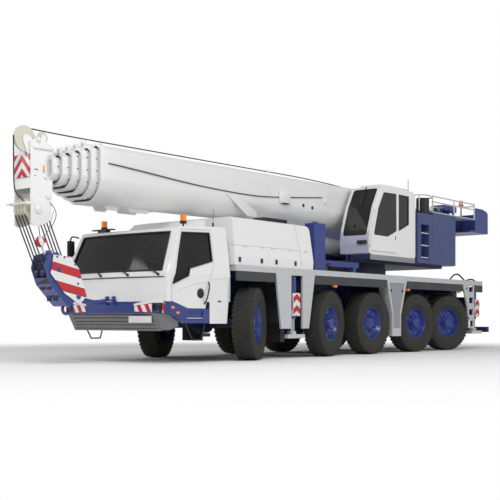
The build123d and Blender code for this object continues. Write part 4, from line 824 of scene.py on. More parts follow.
@dataclass
class NodeDresser:
    """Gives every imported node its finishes, some of them face by face, chosen by where a face lies."""

    book: FinishBook
    winches: tuple[Pair, ...] = ((8.33, 3.3), (8.96, 3.33))
    drum_radius: float = 0.27
    cab_middle: Point = (0.0, -1.45, 1.7)
    crane_cab_middle: Point = (0.94, 5.0, 2.9)

    def dress(self, node: str, base: Finish, *rules: Rule) -> None:
        """Put the materials on one node.

        Args:
            node: Name of the node.
            base: The finish of all faces that no rule takes.
            *rules: Further finishes, each with a function of face middles and normals.
        """
        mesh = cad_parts[node].data
        mesh.materials.clear()
        mesh.materials.append(self.book[base])
        if not rules:
            return
        count = len(mesh.polygons)
        middles = np.zeros(count * 3, np.float32)
        normals = np.zeros(count * 3, np.float32)
        mesh.polygons.foreach_get("center", middles)
        mesh.polygons.foreach_get("normal", normals)
        middles = middles.reshape(-1, 3) - np.array((0, SHIFT_Y, 0), np.float32)
        normals = normals.reshape(-1, 3)
        chosen = np.zeros(count, np.int32)
        for number, (finish, test) in enumerate(rules, start=1):
            mesh.materials.append(self.book[finish])
            chosen[test(middles, normals)] = number
        mesh.polygons.foreach_set("material_index", chosen)
        mesh.update()

    @staticmethod
    def inward(middle: Point) -> Callable[[np.ndarray, np.ndarray], np.ndarray]:
        """A test for faces of a hollow shell that look towards its middle."""
        centre = np.array(middle, np.float32)
        return lambda c, n: ((c - centre) * n).sum(axis=1) < 0

    @staticmethod
    def on_chin(c: np.ndarray, n: np.ndarray) -> np.ndarray:
        """A test for faces of the chin, which ends below the slope of the side steps."""
        slope = 0.86 - np.maximum(c[:, 1] + 2.25, 0.0) * 0.486
        inside = (np.abs(c[:, 0]) < 1.272) & (c[:, 1] < -1.95)
        return inside & (c[:, 2] < slope + 0.001)

    def dress_carrier(self) -> None:
        """Finishes of the carrier's own nodes."""
        inside = self.inward(self.cab_middle)
        self.dress("axles", Finish.CAST)
        self.dress("chassis_frame", Finish.NAVY, (Finish.CAST, lambda c, n: c[:, 2] > 1.745))
        self.dress("carrier_cab", Finish.WHITE, (Finish.TRIM, inside))
        self.dress("carrier_cab_glass", Finish.GLASS)
        self.dress("carrier_cab_interior", Finish.TRIM, (Finish.CLOTH, lambda c, n: c[:, 1] > -1.66))
        for side in ("left", "right"):
            self.dress(f"carrier_door_{side}", Finish.WHITE, (Finish.TRIM, inside))
            self.dress(f"carrier_door_glass_{side}", Finish.GLASS)
        self.dress("front_bumper", Finish.BLUE,
                   (Finish.GREY,
                    lambda c, n: (np.abs(c[:, 2] - 0.77) < 0.021) & (c[:, 1] > -1.84) & (c[:, 1] < -1.41)),
                   (Finish.CHIN, self.on_chin))
        self.dress("deck", Finish.CHEQUER,
                   (Finish.DARK_GREY, lambda c, n: (c[:, 2] < 1.6299) & (np.abs(c[:, 0]) > 1.34)),
                   (Finish.DARK_CHEQUER, lambda c, n: (np.abs(c[:, 0]) < 1.335) & (c[:, 2] < 1.47)),
                   (Finish.BLACK, lambda c, n: (np.abs(c[:, 0]) < 1.335) & (c[:, 2] < 0.701)))
        self.dress("side_panels", Finish.CHEQUER,
                   (Finish.SILL, lambda c, n: (np.abs(np.abs(c[:, 0]) - 1.363) < 0.0015) & (c[:, 1] > 4.8)
                    & (c[:, 1] < 5.3) & (np.abs(n[:, 0]) > 0.9)))
        self.dress("engine_housing", Finish.WHITE,
                   (Finish.MESH, lambda c, n: (c[:, 2] > 2.6251) & (c[:, 0] > 0.6)),
                   (Finish.NAVY, lambda c, n: (c[:, 2] > 2.6251) & (np.abs(c[:, 0]) < 0.21)),
                   (Finish.TRIM, self.inward((0, 0.65, 2.1))))
        self.dress("engine_block", Finish.CAST)
        self.dress("deck_tanks", Finish.BLUE)
        self.dress("fittings", Finish.BLACK,
                   (Finish.WHITE, lambda c, n: (c[:, 2] > 2.37) & (np.abs(c[:, 0]) < 0.8)),
                   (Finish.AMBER, lambda c, n: (c[:, 2] > 2.466) & (np.abs(c[:, 0]) > 0.9) & (c[:, 1] < -1)),
                   (Finish.LAMP, lambda c, n: (c[:, 1] < -2.29) & (c[:, 2] > 0.8) & (n[:, 1] < -0.5)),
                   (Finish.STEEL, lambda c, n: (c[:, 1] < -1.9) & (c[:, 2] < 0.62)),
                   (Finish.AMBER, lambda c, n: (c[:, 1] > 1.0) & (np.abs(c[:, 0]) > 1.3)),
                   (Finish.RED_LENS, lambda c, n: (c[:, 1] > 9.0) & (np.abs(c[:, 0]) < 1.3)))

    def dress_outriggers(self) -> None:
        """Finishes of the outrigger beams and jacks."""
        for place in ("front", "rear"):
            for side in ("left", "right"):
                self.dress(f"outrigger_beam_{place}_{side}", Finish.BLUE,
                           (Finish.NAVY, lambda c, n: np.abs(c[:, 0]) < 1.14),
                           (Finish.STRIPES,
                            lambda c, n: (np.abs(c[:, 0]) > 1.25) & (c[:, 2] < 1.271) & (c[:, 2] > 0.819)))
                self.dress(f"outrigger_jack_{place}_{side}", Finish.CHROME,
                           (Finish.GREY, lambda c, n: c[:, 2] < 0.53))

    def dress_running_gear(self) -> None:
        """Finishes of the knuckles and the wheels' own solids."""
        for number in range(1, 6):
            for side in ("left", "right"):
                self.dress(f"wheel_{number}_{side}", Finish.RUBBER)
                if number != 3:
                    self.dress(f"knuckle_{number}_{side}", Finish.CAST)

    def on_drum(self, c: np.ndarray, n: np.ndarray) -> np.ndarray:
        """A test for faces of the winch drums between their flanges."""
        near = np.zeros(len(c), bool)
        for y, z in self.winches:
            near |= np.hypot(c[:, 1] - y, c[:, 2] - z) < self.drum_radius
        return near & (np.abs(c[:, 0]) < 0.399)

    def dress_superstructure(self) -> None:
        """Finishes of the nodes that slew."""
        inside = self.inward(self.crane_cab_middle)
        self.dress("turntable", Finish.BLUE,
                   (Finish.CAST, lambda c, n: c[:, 2] < 2.019),
                   (Finish.NAVY, lambda c, n: (c[:, 2] < 2.12) & (c[:, 2] >= 2.019)),
                   (Finish.DRUM, self.on_drum))
        self.dress("ballast", Finish.BALLAST,
                   (Finish.BLACK, lambda c, n: (c[:, 2] > 3.2502) & (c[:, 1] < 6.775) & (c[:, 0] > 1.0)),
                   (Finish.GREY, self.on_rung))
        self.dress("railings", Finish.GREY,
                   (Finish.BLACK, lambda c, n: (c[:, 1] > 9.3)),
                   (Finish.AMBER, lambda c, n: (c[:, 1] > 9.3) & (c[:, 2] > 3.791)))
        self.dress("crane_cab", Finish.WHITE, (Finish.TRIM, inside),
                   # Painted shade: the cab's lower faces that look forward take the pale blue-grey that stands
                   # in for their shade.
                   (Finish.LAVENDER, lambda c, n: (c[:, 2] < 2.6) & (n[:, 1] < -0.6) & (c[:, 1] < 4.0)),
                   (Finish.SILL, lambda c, n: c[:, 2] < 2.189))
        self.dress("crane_cab_glass", Finish.GLASS,
                   (Finish.CRANE_GLASS, lambda c, n: c[:, 0] > 1.28))
        self.dress("crane_cab_interior", Finish.CLOTH)
        self.dress("crane_cab_door", Finish.WHITE, (Finish.TRIM, lambda c, n: n[:, 0] < -0.5))
        self.dress("crane_cab_door_glass", Finish.CRANE_GLASS)
        for number in range(1, 7):
            self.dress(f"boom_section_{number}", Finish.WHITE)
        self.dress("head_sheaves", Finish.CREAM)
        self.dress("hook_block", Finish.BLUE,
                   (Finish.HOOK_STRIPES,
                    lambda c, n: (np.abs(c[:, 0]) > 0.1995) & (np.abs(c[:, 0]) < 0.2005)),
                   (Finish.ROPE, self.on_fall))
        self.dress("luffing_barrel", Finish.GREY)
        self.dress("luffing_rod", Finish.CHROME)

    @staticmethod
    def on_rung(c: np.ndarray, n: np.ndarray) -> np.ndarray:
        """A test for faces of the ladder's rungs in the ballast."""
        near = np.zeros(len(c), bool)
        for z in (2.213, 2.499, 2.79):
            near |= np.hypot(c[:, 0] - 1.32, c[:, 2] - z) < 0.0165
        return near

    @staticmethod
    def on_fall(c: np.ndarray, n: np.ndarray) -> np.ndarray:
        """A test for faces of the rope falls, which all lie near four planes across the head."""
        near = np.zeros(len(c), bool)
        for x in (-0.12, -0.04, 0.04, 0.12):
            near |= np.abs(c[:, 0] - x) < 0.0112
        return near & (c[:, 2] > 1.25) & (np.abs(n[:, 0]) < 0.999)

    def dress_all(self) -> None:
        """Dress every node."""
        self.dress_carrier()
        self.dress_outriggers()
        self.dress_running_gear()
        self.dress_superstructure()
        log.info("dressed %d nodes", len(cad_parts))


# Wheels

@dataclass
class WheelSet:
    """Ten wheels, each a tyre with real tread blocks on a turned rim with its nuts and hub."""

    bench: Bench
    radius: float = 0.675
    width: float = 0.385
    rim_radius: float = 0.35
    axles: tuple[float, ...] = (0.0, 2.45, 4.1, 6.05, 7.7)
    middle_x: float = 1.175
    kingpin_in: float = 0.08
    steer_deg: tuple[float, ...] = (25.0, 11.0, 0.0, -9.0, -18.0)
    groove: float = 0.016
    pitches: int = 44
    capped: tuple[int, ...] = (1, 3, 4)

    def tyre(self) -> bpy.types.Object:
        """One tyre around the X axis, outer side towards +X."""
        half = self.width / 2
        top = self.radius - self.groove
        wall = [(half - 0.062, self.rim_radius), (half - 0.03, 0.375), (half - 0.012, 0.42),
                (half - 0.012, 0.428), (half - 0.003, 0.434), (half, 0.5), (half - 0.001, 0.555),
                (half - 0.008, 0.562), (half - 0.006, 0.6), (half - 0.016, 0.632), (half - 0.03, top - 0.006)]
        crown = [(half - 0.055, top), (0.06, top + 0.004), (-0.06, top + 0.004), (0.055 - half, top)]
        other = [(-x, r) for x, r in reversed(wall)]
        body = self.bench.lathe([*wall, *crown, *other], 72)
        return self.bench.join([body, self.tread()])

    def tread(self) -> bpy.types.Object:
        """All tread blocks of one tyre: two middle rows and two shoulder rows."""
        half = self.width / 2
        length = 2 * math.pi * self.radius / self.pitches
        rows = []
        for x0, x1, lean, share, low in (
                (0.004, 0.066, 0.012, 0.62, 0.0), (0.076, half - 0.014, -0.01, 0.6, 0.004)):
            for sign in (1, -1):
                offset = 0.5 * length if sign < 0 else 0.0
                if x0 > 0.05:
                    offset += 0.25 * length
                rows.append(self.tread_row(sign, (x0, x1), lean, length * share, offset, low))
        return self.bench.join(rows)

    def tread_row(self, sign: int, across: Pair, lean: float, length: float, offset: float,
                  low: float) -> bpy.types.Object:
        """One ring of tread blocks.

        Args:
            sign: 1 for the outer half of the tyre, -1 for the inner half.
            across: The block's two values of x, on the outer half.
            lean: How far the block's outer end is turned along the tyre.
            length: The block's length along the tyre.
            offset: Where the row starts along the tyre.
            low: How much lower the outer end of the block lies.

        Returns:
            The joined ring.
        """
        angle = offset / self.radius
        top = math.sqrt(self.radius ** 2 - (length / 2) ** 2) - 0.0012
        base = self.radius - self.groove - 0.006
        x0, x1 = sign * across[0], sign * across[1]
        half = length / 2
        corners = [(x0, -half, base), (x1, lean - half, base - low), (x1, lean + half, base - low),
                   (x0, half, base)]
        block = self.bench.plate(corners, (0, 0, top - base - low), 0.0)
        self.bench.activate(block)
        block.data.transform(Matrix.Rotation(angle, 4, "X"))
        bevel = block.modifiers.new("worn_edges", "BEVEL")
        bevel.width = 0.003
        bevel.segments = 1
        bpy.ops.object.modifier_apply(modifier=bevel.name)
        return self.bench.around(block, self.pitches)

    def rim(self, capped: bool) -> bpy.types.Object:
        """One rim around the X axis.

        Args:
            capped: True for the axles whose hubs carry a large cap.

        Returns:
            The joined rim.
        """
        half = self.width / 2
        edge = half - 0.062
        section = [(edge + 0.012, 0.352), (edge + 0.014, 0.338), (edge, 0.33), (edge - 0.03, 0.318),
                   (edge - 0.05, 0.31), (0.09, 0.3), (0.062, 0.286), (0.06, 0.24), (0.058, 0.16),
                   (0.03, 0.155), (0.02, 0.24), (-0.02, 0.3), (-edge, 0.33), (-edge - 0.012, 0.35),
                   (-edge, 0.352), (0.0, 0.345), (edge, 0.352)]
        parts = [self.bench.lathe(section, 64)]
        hub = [(0.02, 0.004), (0.02, 0.15), (0.06, 0.15), (0.1, 0.12), (0.118, 0.1), (0.118, 0.004)]
        if capped:
            hub = [(0.02, 0.004), (0.02, 0.16), (0.07, 0.158), (0.1, 0.145), (0.104, 0.118), (0.15, 0.114),
                   (0.166, 0.102), (0.17, 0.05), (0.17, 0.004)]
        parts.append(self.bench.lathe(hub, 40))
        nut = self.bench.rod((0.055, 0, 0.19), (0.085, 0, 0.19), 0.019, sides=6, bevel=0.002)
        stud = self.bench.rod((0.08, 0, 0.19), (0.1, 0, 0.19), 0.009, sides=10, bevel=0.001)
        parts.append(self.bench.around(self.bench.join([nut, stud]), 10))
        if capped:
            bolt = self.bench.rod((0.1, 0, 0.13), (0.108, 0, 0.13), 0.008, sides=6, bevel=0.001)
            parts.append(self.bench.around(bolt, 12))
        return self.bench.join(parts)

    def hand_holes(self) -> bpy.types.Object:
        """Dark hand holes of one rim, as sunk dishes."""
        hole = self.bench.rod((0.045, 0, 0.252), (0.0635, 0, 0.252), 0.027, sides=18, bevel=0.002)
        return self.bench.around(hole, 8)

    def stance(self, number: int, sign: int) -> Matrix:
        """Where one wheel stands, steered about its kingpin as in the photo.

        Args:
            number: The axle, counted from 0.
            sign: 1 for the left wheel, -1 for the right one.

        Returns:
            The move of a wheel that was made around the X axis.
        """
        kingpin = (sign * (self.middle_x - self.kingpin_in), self.axles[number], self.radius)
        steer = Matrix.Rotation(math.radians(self.steer_deg[number]), 4, "Z")
        place = Matrix.Translation(kingpin) @ steer @ Matrix.Translation((sign * self.kingpin_in, 0, 0))
        return place @ Matrix.Scale(sign, 4, (1, 0, 0))

    def build(self) -> None:
        """Build all ten wheels, each on its own body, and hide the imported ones."""
        tyre = self.tyre()
        rims = {True: self.rim(True), False: self.rim(False)}
        holes = self.hand_holes()
        for number in range(len(self.axles)):
            for side, sign in (("left", 1), ("right", -1)):
                node = f"wheel_{number + 1}_{side}"
                turn = Matrix.Rotation(math.radians(11.0 * number + 5 * sign), 4, "X")
                move = self.stance(number, sign) @ turn
                made = self.bench.keep(self.bench.copied(tyre, move), f"tyre_{number + 1}_{side}", node,
                                       Finish.RUBBER)
                rim = self.bench.keep(self.bench.copied(rims[number in self.capped], move),
                                      f"rim_{number + 1}_{side}", node, Finish.RIM)
                self.bench.keep(self.bench.copied(holes, move), f"rim_holes_{number + 1}_{side}", node,
                                Finish.BLACK)
                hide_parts(node)
                log.info("wheel %s with %s", node, rim.name)
        for piece in (tyre, *rims.values(), holes):
            bpy.data.objects.remove(piece)


def front_y(x: float) -> float:
    """The y of the bumper's curved front face at a value of x."""
    bow = 6.99
    return -2.427 + bow - math.sqrt(bow * bow - x * x)


def side_x(z: float) -> float:
    """The x of the carrier cab's side at a height."""
    return 1.3 - max(0.0, z - 1.54) * 0.115 / 0.88


def screen_y(x: float, z: float) -> float:
    """The y of the windscreen's outer face."""
    return front_y(x) + 0.012 + max(0.0, z - 1.54) * 0.33 / 0.73


@dataclass
class CabDetails:
    """Seals, wipers, mirror, lamps, handles and aerials of the carrier cab."""

    bench: Bench
    window: tuple[Pair, ...] = ((-2.18, 1.355), (-1.865, 2.24), (-1.16, 2.272), (-1.15, 1.775), (-1.75, 1.63),
                                (-1.795, 1.5))
    wipers: tuple[float, ...] = (1.131, 0.482, -0.17)
    seal: float = 0.014

    def build(self) -> None:
        """Build all pieces of the cab."""
        for side, sign in (("left", 1), ("right", -1)):
            self.window_seal(side, sign)
            self.door_gear(side, sign)
        self.screen_gear()
        self.mirror()
        self.roof_gear()
        self.corner_lamps()
        self.ridges()

    def window_seal(self, side: str, sign: int) -> None:
        """The rubber around one door's window."""
        ring = [(sign * (side_x(z) + 0.002), y, z) for y, z in (*self.window, self.window[0])]
        piece = self.bench.tube(ring, self.seal, smooth=False)
        self.bench.keep(piece, f"door_seal_{side}", f"carrier_door_{side}", Finish.BLACK)

    def door_gear(self, side: str, sign: int) -> None:
        """The round lock cover, the handle in it and the grab bar of one door."""
        x = sign * 1.3
        disc = self.bench.rod((x - sign * 0.002, -1.491, 1.205), (x + sign * 0.012, -1.491, 1.205), 0.085, 32,
                              0.004)
        handle = self.bench.tube([(x + sign * 0.01, -1.545, 1.205), (x + sign * 0.045, -1.53, 1.205),
                                  (x + sign * 0.045, -1.45, 1.205), (x + sign * 0.01, -1.437, 1.205)], 0.01)
        self.bench.keep_all([disc, handle], f"door_lock_{side}", f"carrier_door_{side}", Finish.BLACK)
        bar = self.bench.tube([(x, -1.395, 1.02), (x + sign * 0.05, -1.385, 1.06),
                               (x + sign * 0.05, -1.29, 1.36), (x, -1.28, 1.4)], 0.012)
        self.bench.keep(bar, f"grab_bar_{side}", f"carrier_door_{side}", Finish.BLACK)

    def screen_gear(self) -> None:
        """Seal of the windscreen, the wipers and the ledge below it."""
        columns = [0.2 * step - 1.0 for step in range(11)]
        low = [(1.163 * x, screen_y(1.163 * x, 1.58) - 0.002, 1.58) for x in columns]
        high = [(1.085 * x, screen_y(1.085 * x, 2.245) - 0.002, 2.245) for x in reversed(columns)]
        seal = self.bench.tube([*low, *high, low[0]], 0.016, smooth=False)
        self.bench.keep(seal, "windscreen_seal", "carrier", Finish.BLACK)
        ledge = [(x, front_y(x) + 0.008, 1.502) for x in [-1.225 + 0.245 * step for step in range(11)]]
        self.bench.keep(self.bench.tube(ledge, 0.028), "screen_ledge", "carrier", Finish.WHITE)
        seam = [(x, y + 0.002, 1.468) for x, y, _ in ledge]
        self.bench.keep(self.bench.tube(seam, 0.009), "ledge_seam", "carrier", Finish.BLACK)
        arms = []
        for x in self.wipers:
            start = (x - 0.17, screen_y(x - 0.17, 1.6) - 0.03, 1.595)
            end = (x, screen_y(x, 1.5) - 0.042, 1.512)
            arms.append(self.bench.tube([start, ((start[0] + end[0]) / 2, start[1] - 0.01, 1.565), end],
                                        0.013))
            arms.append(self.bench.rod((x, end[1] + 0.05, 1.5), (x, end[1] - 0.008, 1.512), 0.024))
            blade = [(x - 0.66 + 0.11 * step, screen_y(x - 0.66 + 0.11 * step, 1.585) - 0.016, 1.585)
                     for step in range(6)]
            arms.append(self.bench.tube(blade, 0.011))
        self.bench.keep_all(arms, "wipers", "carrier", Finish.BLACK)

    def mirror(self) -> None:
        """The mirror on the right side with its bent arm."""
        case = self.bench.block((-1.458, -2.12, 1.925), (-1.405, -1.96, 2.21), 0.02)
        foot = (-side_x(2.25), -2.04, 2.25)
        arm = self.bench.tube([foot, (-1.33, -2.05, 2.29), (-1.43, -2.05, 2.27), (-1.43, -2.05, 2.19)], 0.014)
        stay = self.bench.tube([(-1.24, -2.05, 1.9), (-1.36, -2.05, 1.88), (-1.43, -2.05, 1.93)], 0.01)
        self.bench.keep_all([case, arm, stay], "mirror", "carrier", Finish.BLACK)

    def roof_gear(self) -> None:
        """Aerial, and the bracket bar at the roof's front corner."""
        aerial = self.bench.rod((1.12, -0.952, 2.39), (1.12, -0.952, 2.47), 0.018, 16)
        whip = self.bench.rod((1.12, -0.952, 2.46), (1.12, -0.94, 2.72), 0.005, 8, 0.0, 0.003)
        bar = self.bench.block((-1.3, -1.65, 2.412), (-0.75, -1.55, 2.432), 0.006)
        foot = self.bench.block((-1.12, -1.66, 2.33), (-0.9, -1.54, 2.42), 0.006)
        self.bench.keep_all([aerial, whip, bar, foot], "roof_aerial_and_bar", "carrier", Finish.BLACK)

    def ridges(self) -> None:
        """The raised ridge along both doors and the panels behind them, and the flap's lock."""
        for side, sign in (("left", 1), ("right", -1)):
            line = [(sign * 1.297, y, z)
                    for y, z in ((-2.2, 1.215), (-1.9, 1.31), (-1.55, 1.395), (-1.28, 1.437))]
            self.bench.keep(self.bench.tube(line, 0.013), f"door_ridge_{side}", f"carrier_door_{side}",
                            Finish.WHITE)
        line = [(1.297, y, z) for y, z in ((-1.19, 1.452), (-0.95, 1.49), (-0.72, 1.515))]
        self.bench.keep_pair([self.bench.tube(line, 0.013)], "panel_ridges", "carrier", Finish.WHITE)
        flap = self.bench.block((1.296, -1.03, 1.06), (1.31, -0.95, 1.085), 0.005)
        self.bench.keep_pair([flap], "flap_locks", "carrier", Finish.BLACK)

    def corner_lamps(self) -> None:
        """Amber lamps on both corners of the cab's side, and the tread strip behind the door."""
        lamps = []
        for y, z in ((-2.184, 0.955), (-2.064, 0.868)):
            lamps.append(self.bench.block((1.296, y - 0.035, z - 0.02), (1.318, y + 0.035, z + 0.02), 0.008))
        self.bench.keep_pair(lamps, "cab_corner_lamps", "carrier", Finish.AMBER)
        strip = self.bench.plate([(1.3, -0.76, 1.07), (1.3, -0.695, 1.07), (1.3, -0.695, 1.5),
                                  (1.3, -0.76, 1.49)], (0.006, 0, 0))
        self.bench.keep_pair([strip], "cab_rear_strips", "carrier", Finish.CHEQUER)


@dataclass
class FrontDetails:
    """Hazard panels, blank plate, tow eyes, shackle and lamp rings of the carrier's front."""

    bench: Bench
    striped: tuple[Point, ...] = ((0.615, 0.89, 0.985), (0.75, 0.883, 1.0), (0.87, 0.878, 1.012),
                                  (0.985, 0.874, 1.02))
    white: tuple[Point, ...] = ((0.6, 0.988, 1.018), (0.75, 1.003, 1.05), (0.87, 1.015, 1.08),
                                (0.985, 1.034, 1.105), (1.1, 1.034, 1.135), (1.225, 1.034, 1.165))
    edge: tuple[Point, ...] = ((1.197, 0.865, 1.034), (1.24, 0.865, 1.034))
    lamps: tuple[Point, ...] = ((1.042, 0.96, 0.056), (1.15, 0.985, 0.05), (1.15, 0.9, 0.05))

    def band(self, columns: Sequence[Point], out: float) -> bpy.types.Object:
        """A thin film on the curved front between columns of (x, low z, high z)."""
        parts = []
        for (x0, a0, b0), (x1, a1, b1) in zip(columns, columns[1:]):
            y0, y1 = front_y(x0) - out, front_y(x1) - out
            parts.append(self.bench.plate([(x0, y0, a0), (x1, y1, a1), (x1, y1, b1), (x0, y0, b0)],
                                          (0, 0.004, 0), 0.0))
        return self.bench.join(parts)

    def build(self) -> None:
        """Build all pieces of the front."""
        film = self.bench.join([self.band(self.striped, 0.005), self.band(self.edge, 0.005)])
        self.bench.keep_pair([film], "hazard_panels", "carrier", Finish.STRIPES, "white_paint")
        self.bench.keep_pair([self.band(self.white, 0.005)], "lamp_panels", "carrier", Finish.WHITE)
        plate = self.band([(0.496, 0.699, 0.812), (0.74, 0.699, 0.812), (0.986, 0.699, 0.812)], 0.012)
        self.bench.keep(plate, "blank_plate", "carrier", Finish.PLATE, "white_paint")
        rings = []
        for x, z, radius in self.lamps:
            section = [(-0.004, radius - 0.012), (0.006, radius - 0.012), (0.006, radius), (-0.004, radius)]
            ring = self.bench.lathe(section, 28)
            turn = Matrix.Rotation(-math.pi / 2, 4, "Z")
            ring.data.transform(Matrix.Translation((x, front_y(x), z)) @ turn)
            rings.append(ring)
        self.bench.keep_pair(rings, "lamp_rings", "carrier", Finish.BLACK)
        self.tow_gear()

    def tow_gear(self) -> None:
        """Tow eyes on the bumper and the shackle of the hook's sling."""
        eyes = [self.bench.plate([(x, -2.5, 1.0), (x, -2.41, 0.98), (x, -2.41, 1.16), (x, -2.49, 1.15)],
                                 (0.022, 0, 0), 0.006) for x in (-0.02, 0.145)]
        foot = self.bench.block((-0.04, -2.44, 0.97), (0.19, -2.42, 1.1), 0.006)
        self.bench.keep_all([*eyes, foot], "tow_eye", "carrier", Finish.BLUE)
        bow = [(0.02, -2.49, 1.06), (0.02, -2.56, 1.055), (0.0625, -2.6, 1.05), (0.105, -2.56, 1.055),
               (0.105, -2.49, 1.06)]
        pin = self.bench.rod((0.0, -2.485, 1.06), (0.13, -2.485, 1.06), 0.013, 14)
        self.bench.keep_all([self.bench.tube(bow, 0.012), pin], "tow_shackle", "carrier", Finish.CHROME)


@dataclass
class DeckDetails:
    """Latches, locks, hoses, rivets, boxes, arrow plates and rest pads between the cab and the tail."""

    bench: Bench
    handles: tuple[float, ...] = (-0.492, 0.15, 0.6, 1.209)
    outriggers: tuple[tuple[str, float], ...] = (("front", 1.24), ("rear", 9.13))
    arrow_x: float = 1.358
    arrow_half: float = 0.115
    arrow_foot: float = 0.83
    arrow_rise: float = 0.075
    arrow_band: float = 0.11

    def build(self) -> None:
        """Build all pieces along the carrier."""
        self.housing_gear()
        self.rivets()
        self.jack_hoses()
        self.bay_gear()
        self.deck_hoses()
        self.frame_gear()
        self.jack_plates()
        self.rest_pad()

    def housing_gear(self) -> None:
        """Latches and hinges of the engine covers."""
        latches = []
        for y in self.handles:
            latches.append(self.bench.block((1.353, y - 0.03, 1.794), (1.37, y + 0.03, 1.88), 0.006))
        self.bench.keep_pair(latches, "cover_latches", "carrier", Finish.BLACK)
        hinges = []
        for y in (-0.3, 0.2, 0.55, 1.1, 1.6):
            hinges.append(self.bench.rod((1.322, y - 0.05, 2.1), (1.322, y + 0.05, 2.1), 0.012, 14))
        self.bench.keep_pair(hinges, "cover_hinges", "carrier", Finish.WHITE)

    def rivets(self) -> None:
        """Bolt heads along the deck's rail on both sides."""
        heads = []
        y = -0.5
        while y < 9.35:
            heads.append(self.bench.rod((1.374, y, 1.685), (1.3795, y, 1.685), 0.011, 8, 0.0015))
            y += 0.33
        self.bench.keep_pair(heads, "rail_bolts", "carrier", Finish.STEEL)

    def jack_hoses(self) -> None:
        """Hoses beside the jacks of the outriggers."""
        for place, y in self.outriggers:
            for side, sign in (("left", 1), ("right", -1)):
                hose = [(sign * 1.1, y - 0.2, 1.3), (sign * 1.32, y - 0.14, 1.36),
                        (sign * 1.345, y - 0.125, 1.2), (sign * 1.33, y - 0.13, 0.95)]
                self.bench.cord(hose, 0.014, f"jack_hose_{place}_{side}", f"beam_{place}_{side}", Finish.HOSE,
                                "hanging", "stiff")

    def jack_plates(self) -> None:
        """Red and white arrow plates on the outer ends of the outrigger beams."""
        for place, y in self.outriggers:
            for side, sign in (("left", 1), ("right", -1)):
                body = f"beam_{place}_{side}"
                near, far = sorted((sign * (self.arrow_x - 0.004), sign * (self.arrow_x + 0.012)))
                top = self.arrow_foot + 0.43
                plate = self.bench.block((near, y - self.arrow_half, self.arrow_foot),
                                         (far, y + self.arrow_half, top), 0.003)
                self.bench.keep(plate, f"jack_plate_{place}_{side}", body, Finish.PLATE)
                bars = [self.arrow(sign, y, self.arrow_foot + 0.02 + number * 2 * self.arrow_band)
                        for number in range(2)]
                self.bench.keep_all(bars, f"jack_arrows_{place}_{side}", body, Finish.RED)

    def arrow(self, sign: int, y: float, z: float) -> bpy.types.Object:
        """One red arrow that points up.

        Args:
            sign: 1 for the left side, -1 for the right one.
            y: Middle of the plate.
            z: Lowest point of the arrow's two ends.

        Returns:
            The new object.
        """
        x = sign * (self.arrow_x + 0.011)
        half = self.arrow_half - 0.002
        lower = [(x, y - half, z), (x, y, z + self.arrow_rise), (x, y + half, z)]
        upper = [(x, b, c + self.arrow_band) for _, b, c in reversed(lower)]
        return self.bench.plate([*lower, *upper], (sign * 0.0025, 0.0, 0.0), 0.0)

    def rest_pad(self) -> None:
        """Rubber pad on the boom's rest."""
        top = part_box("engine_housing")[1][2]
        pads = [self.bench.block((x - 0.08, 0.87, top - 0.004), (x + 0.08, 1.09, top + 0.045), 0.008)
                for x in (-0.11, 0.11)]
        self.bench.keep_all(pads, "rest_pads", "carrier", Finish.RUBBER)

    def bay_gear(self) -> None:
        """Locks on the side lockers and the rear panels."""
        locks = []
        for y, z in ((4.8, 1.4), (5.3, 1.4), (8.52, 1.535), (8.63, 0.78)):
            locks.append(self.bench.rod((1.372, y, z), (1.381, y, z), 0.028, 20, 0.003))
            locks.append(self.bench.block((1.38, y - 0.006, z - 0.022), (1.388, y + 0.006, z + 0.022), 0.002))
        self.bench.keep_pair(locks, "locker_locks", "carrier", Finish.BLACK)

    def frame_gear(self) -> None:
        """Cross boxes and air tanks under the deck that close the view between the wheels."""
        boxes = [self.bench.block((-0.9, 8.5, 1.12), (0.9, 8.92, 1.62), 0.01),
                 self.bench.block((-0.9, 0.9, 1.15), (0.9, 1.0, 1.6), 0.01),
                 self.bench.block((-0.88, 5.0, 1.1), (0.88, 5.12, 1.6), 0.01),
                 self.bench.block((-1.2, 8.02, 1.4), (1.2, 8.3, 1.615), 0.015)]
        self.bench.keep_all(boxes, "frame_cross_boxes", "carrier", Finish.NAVY)
        tank = self.bench.rod((0.62, 5.05, 0.98), (1.0, 5.05, 0.98), 0.12, 32, 0.03)
        self.bench.keep_pair([tank], "air_tanks", "carrier", Finish.DARK_GREY)

    def deck_hoses(self) -> None:
        """Hoses that lie over the deck behind the tank and near the tail."""
        for number, points in enumerate((
                ((0.98, 2.5, 1.742), (1.0, 2.62, 1.95), (0.9, 2.9, 2.0), (0.75, 3.2, 1.85),
                 (0.7, 3.35, 1.745)),
                ((1.1, 2.5, 1.742), (1.12, 2.7, 1.9), (1.0, 3.0, 1.93), (0.85, 3.3, 1.745)),
                ((1.0, 8.3, 1.745), (1.0, 8.557, 1.924), (1.05, 8.8, 1.9), (1.1, 8.95, 1.745)),
                ((1.15, 8.9, 1.745), (1.2, 9.182, 1.83), (1.22, 9.3, 1.745)))):
            self.bench.cord(points, 0.02, f"deck_hose_{number + 1}", "carrier", Finish.HOSE, "loose", "stiff")


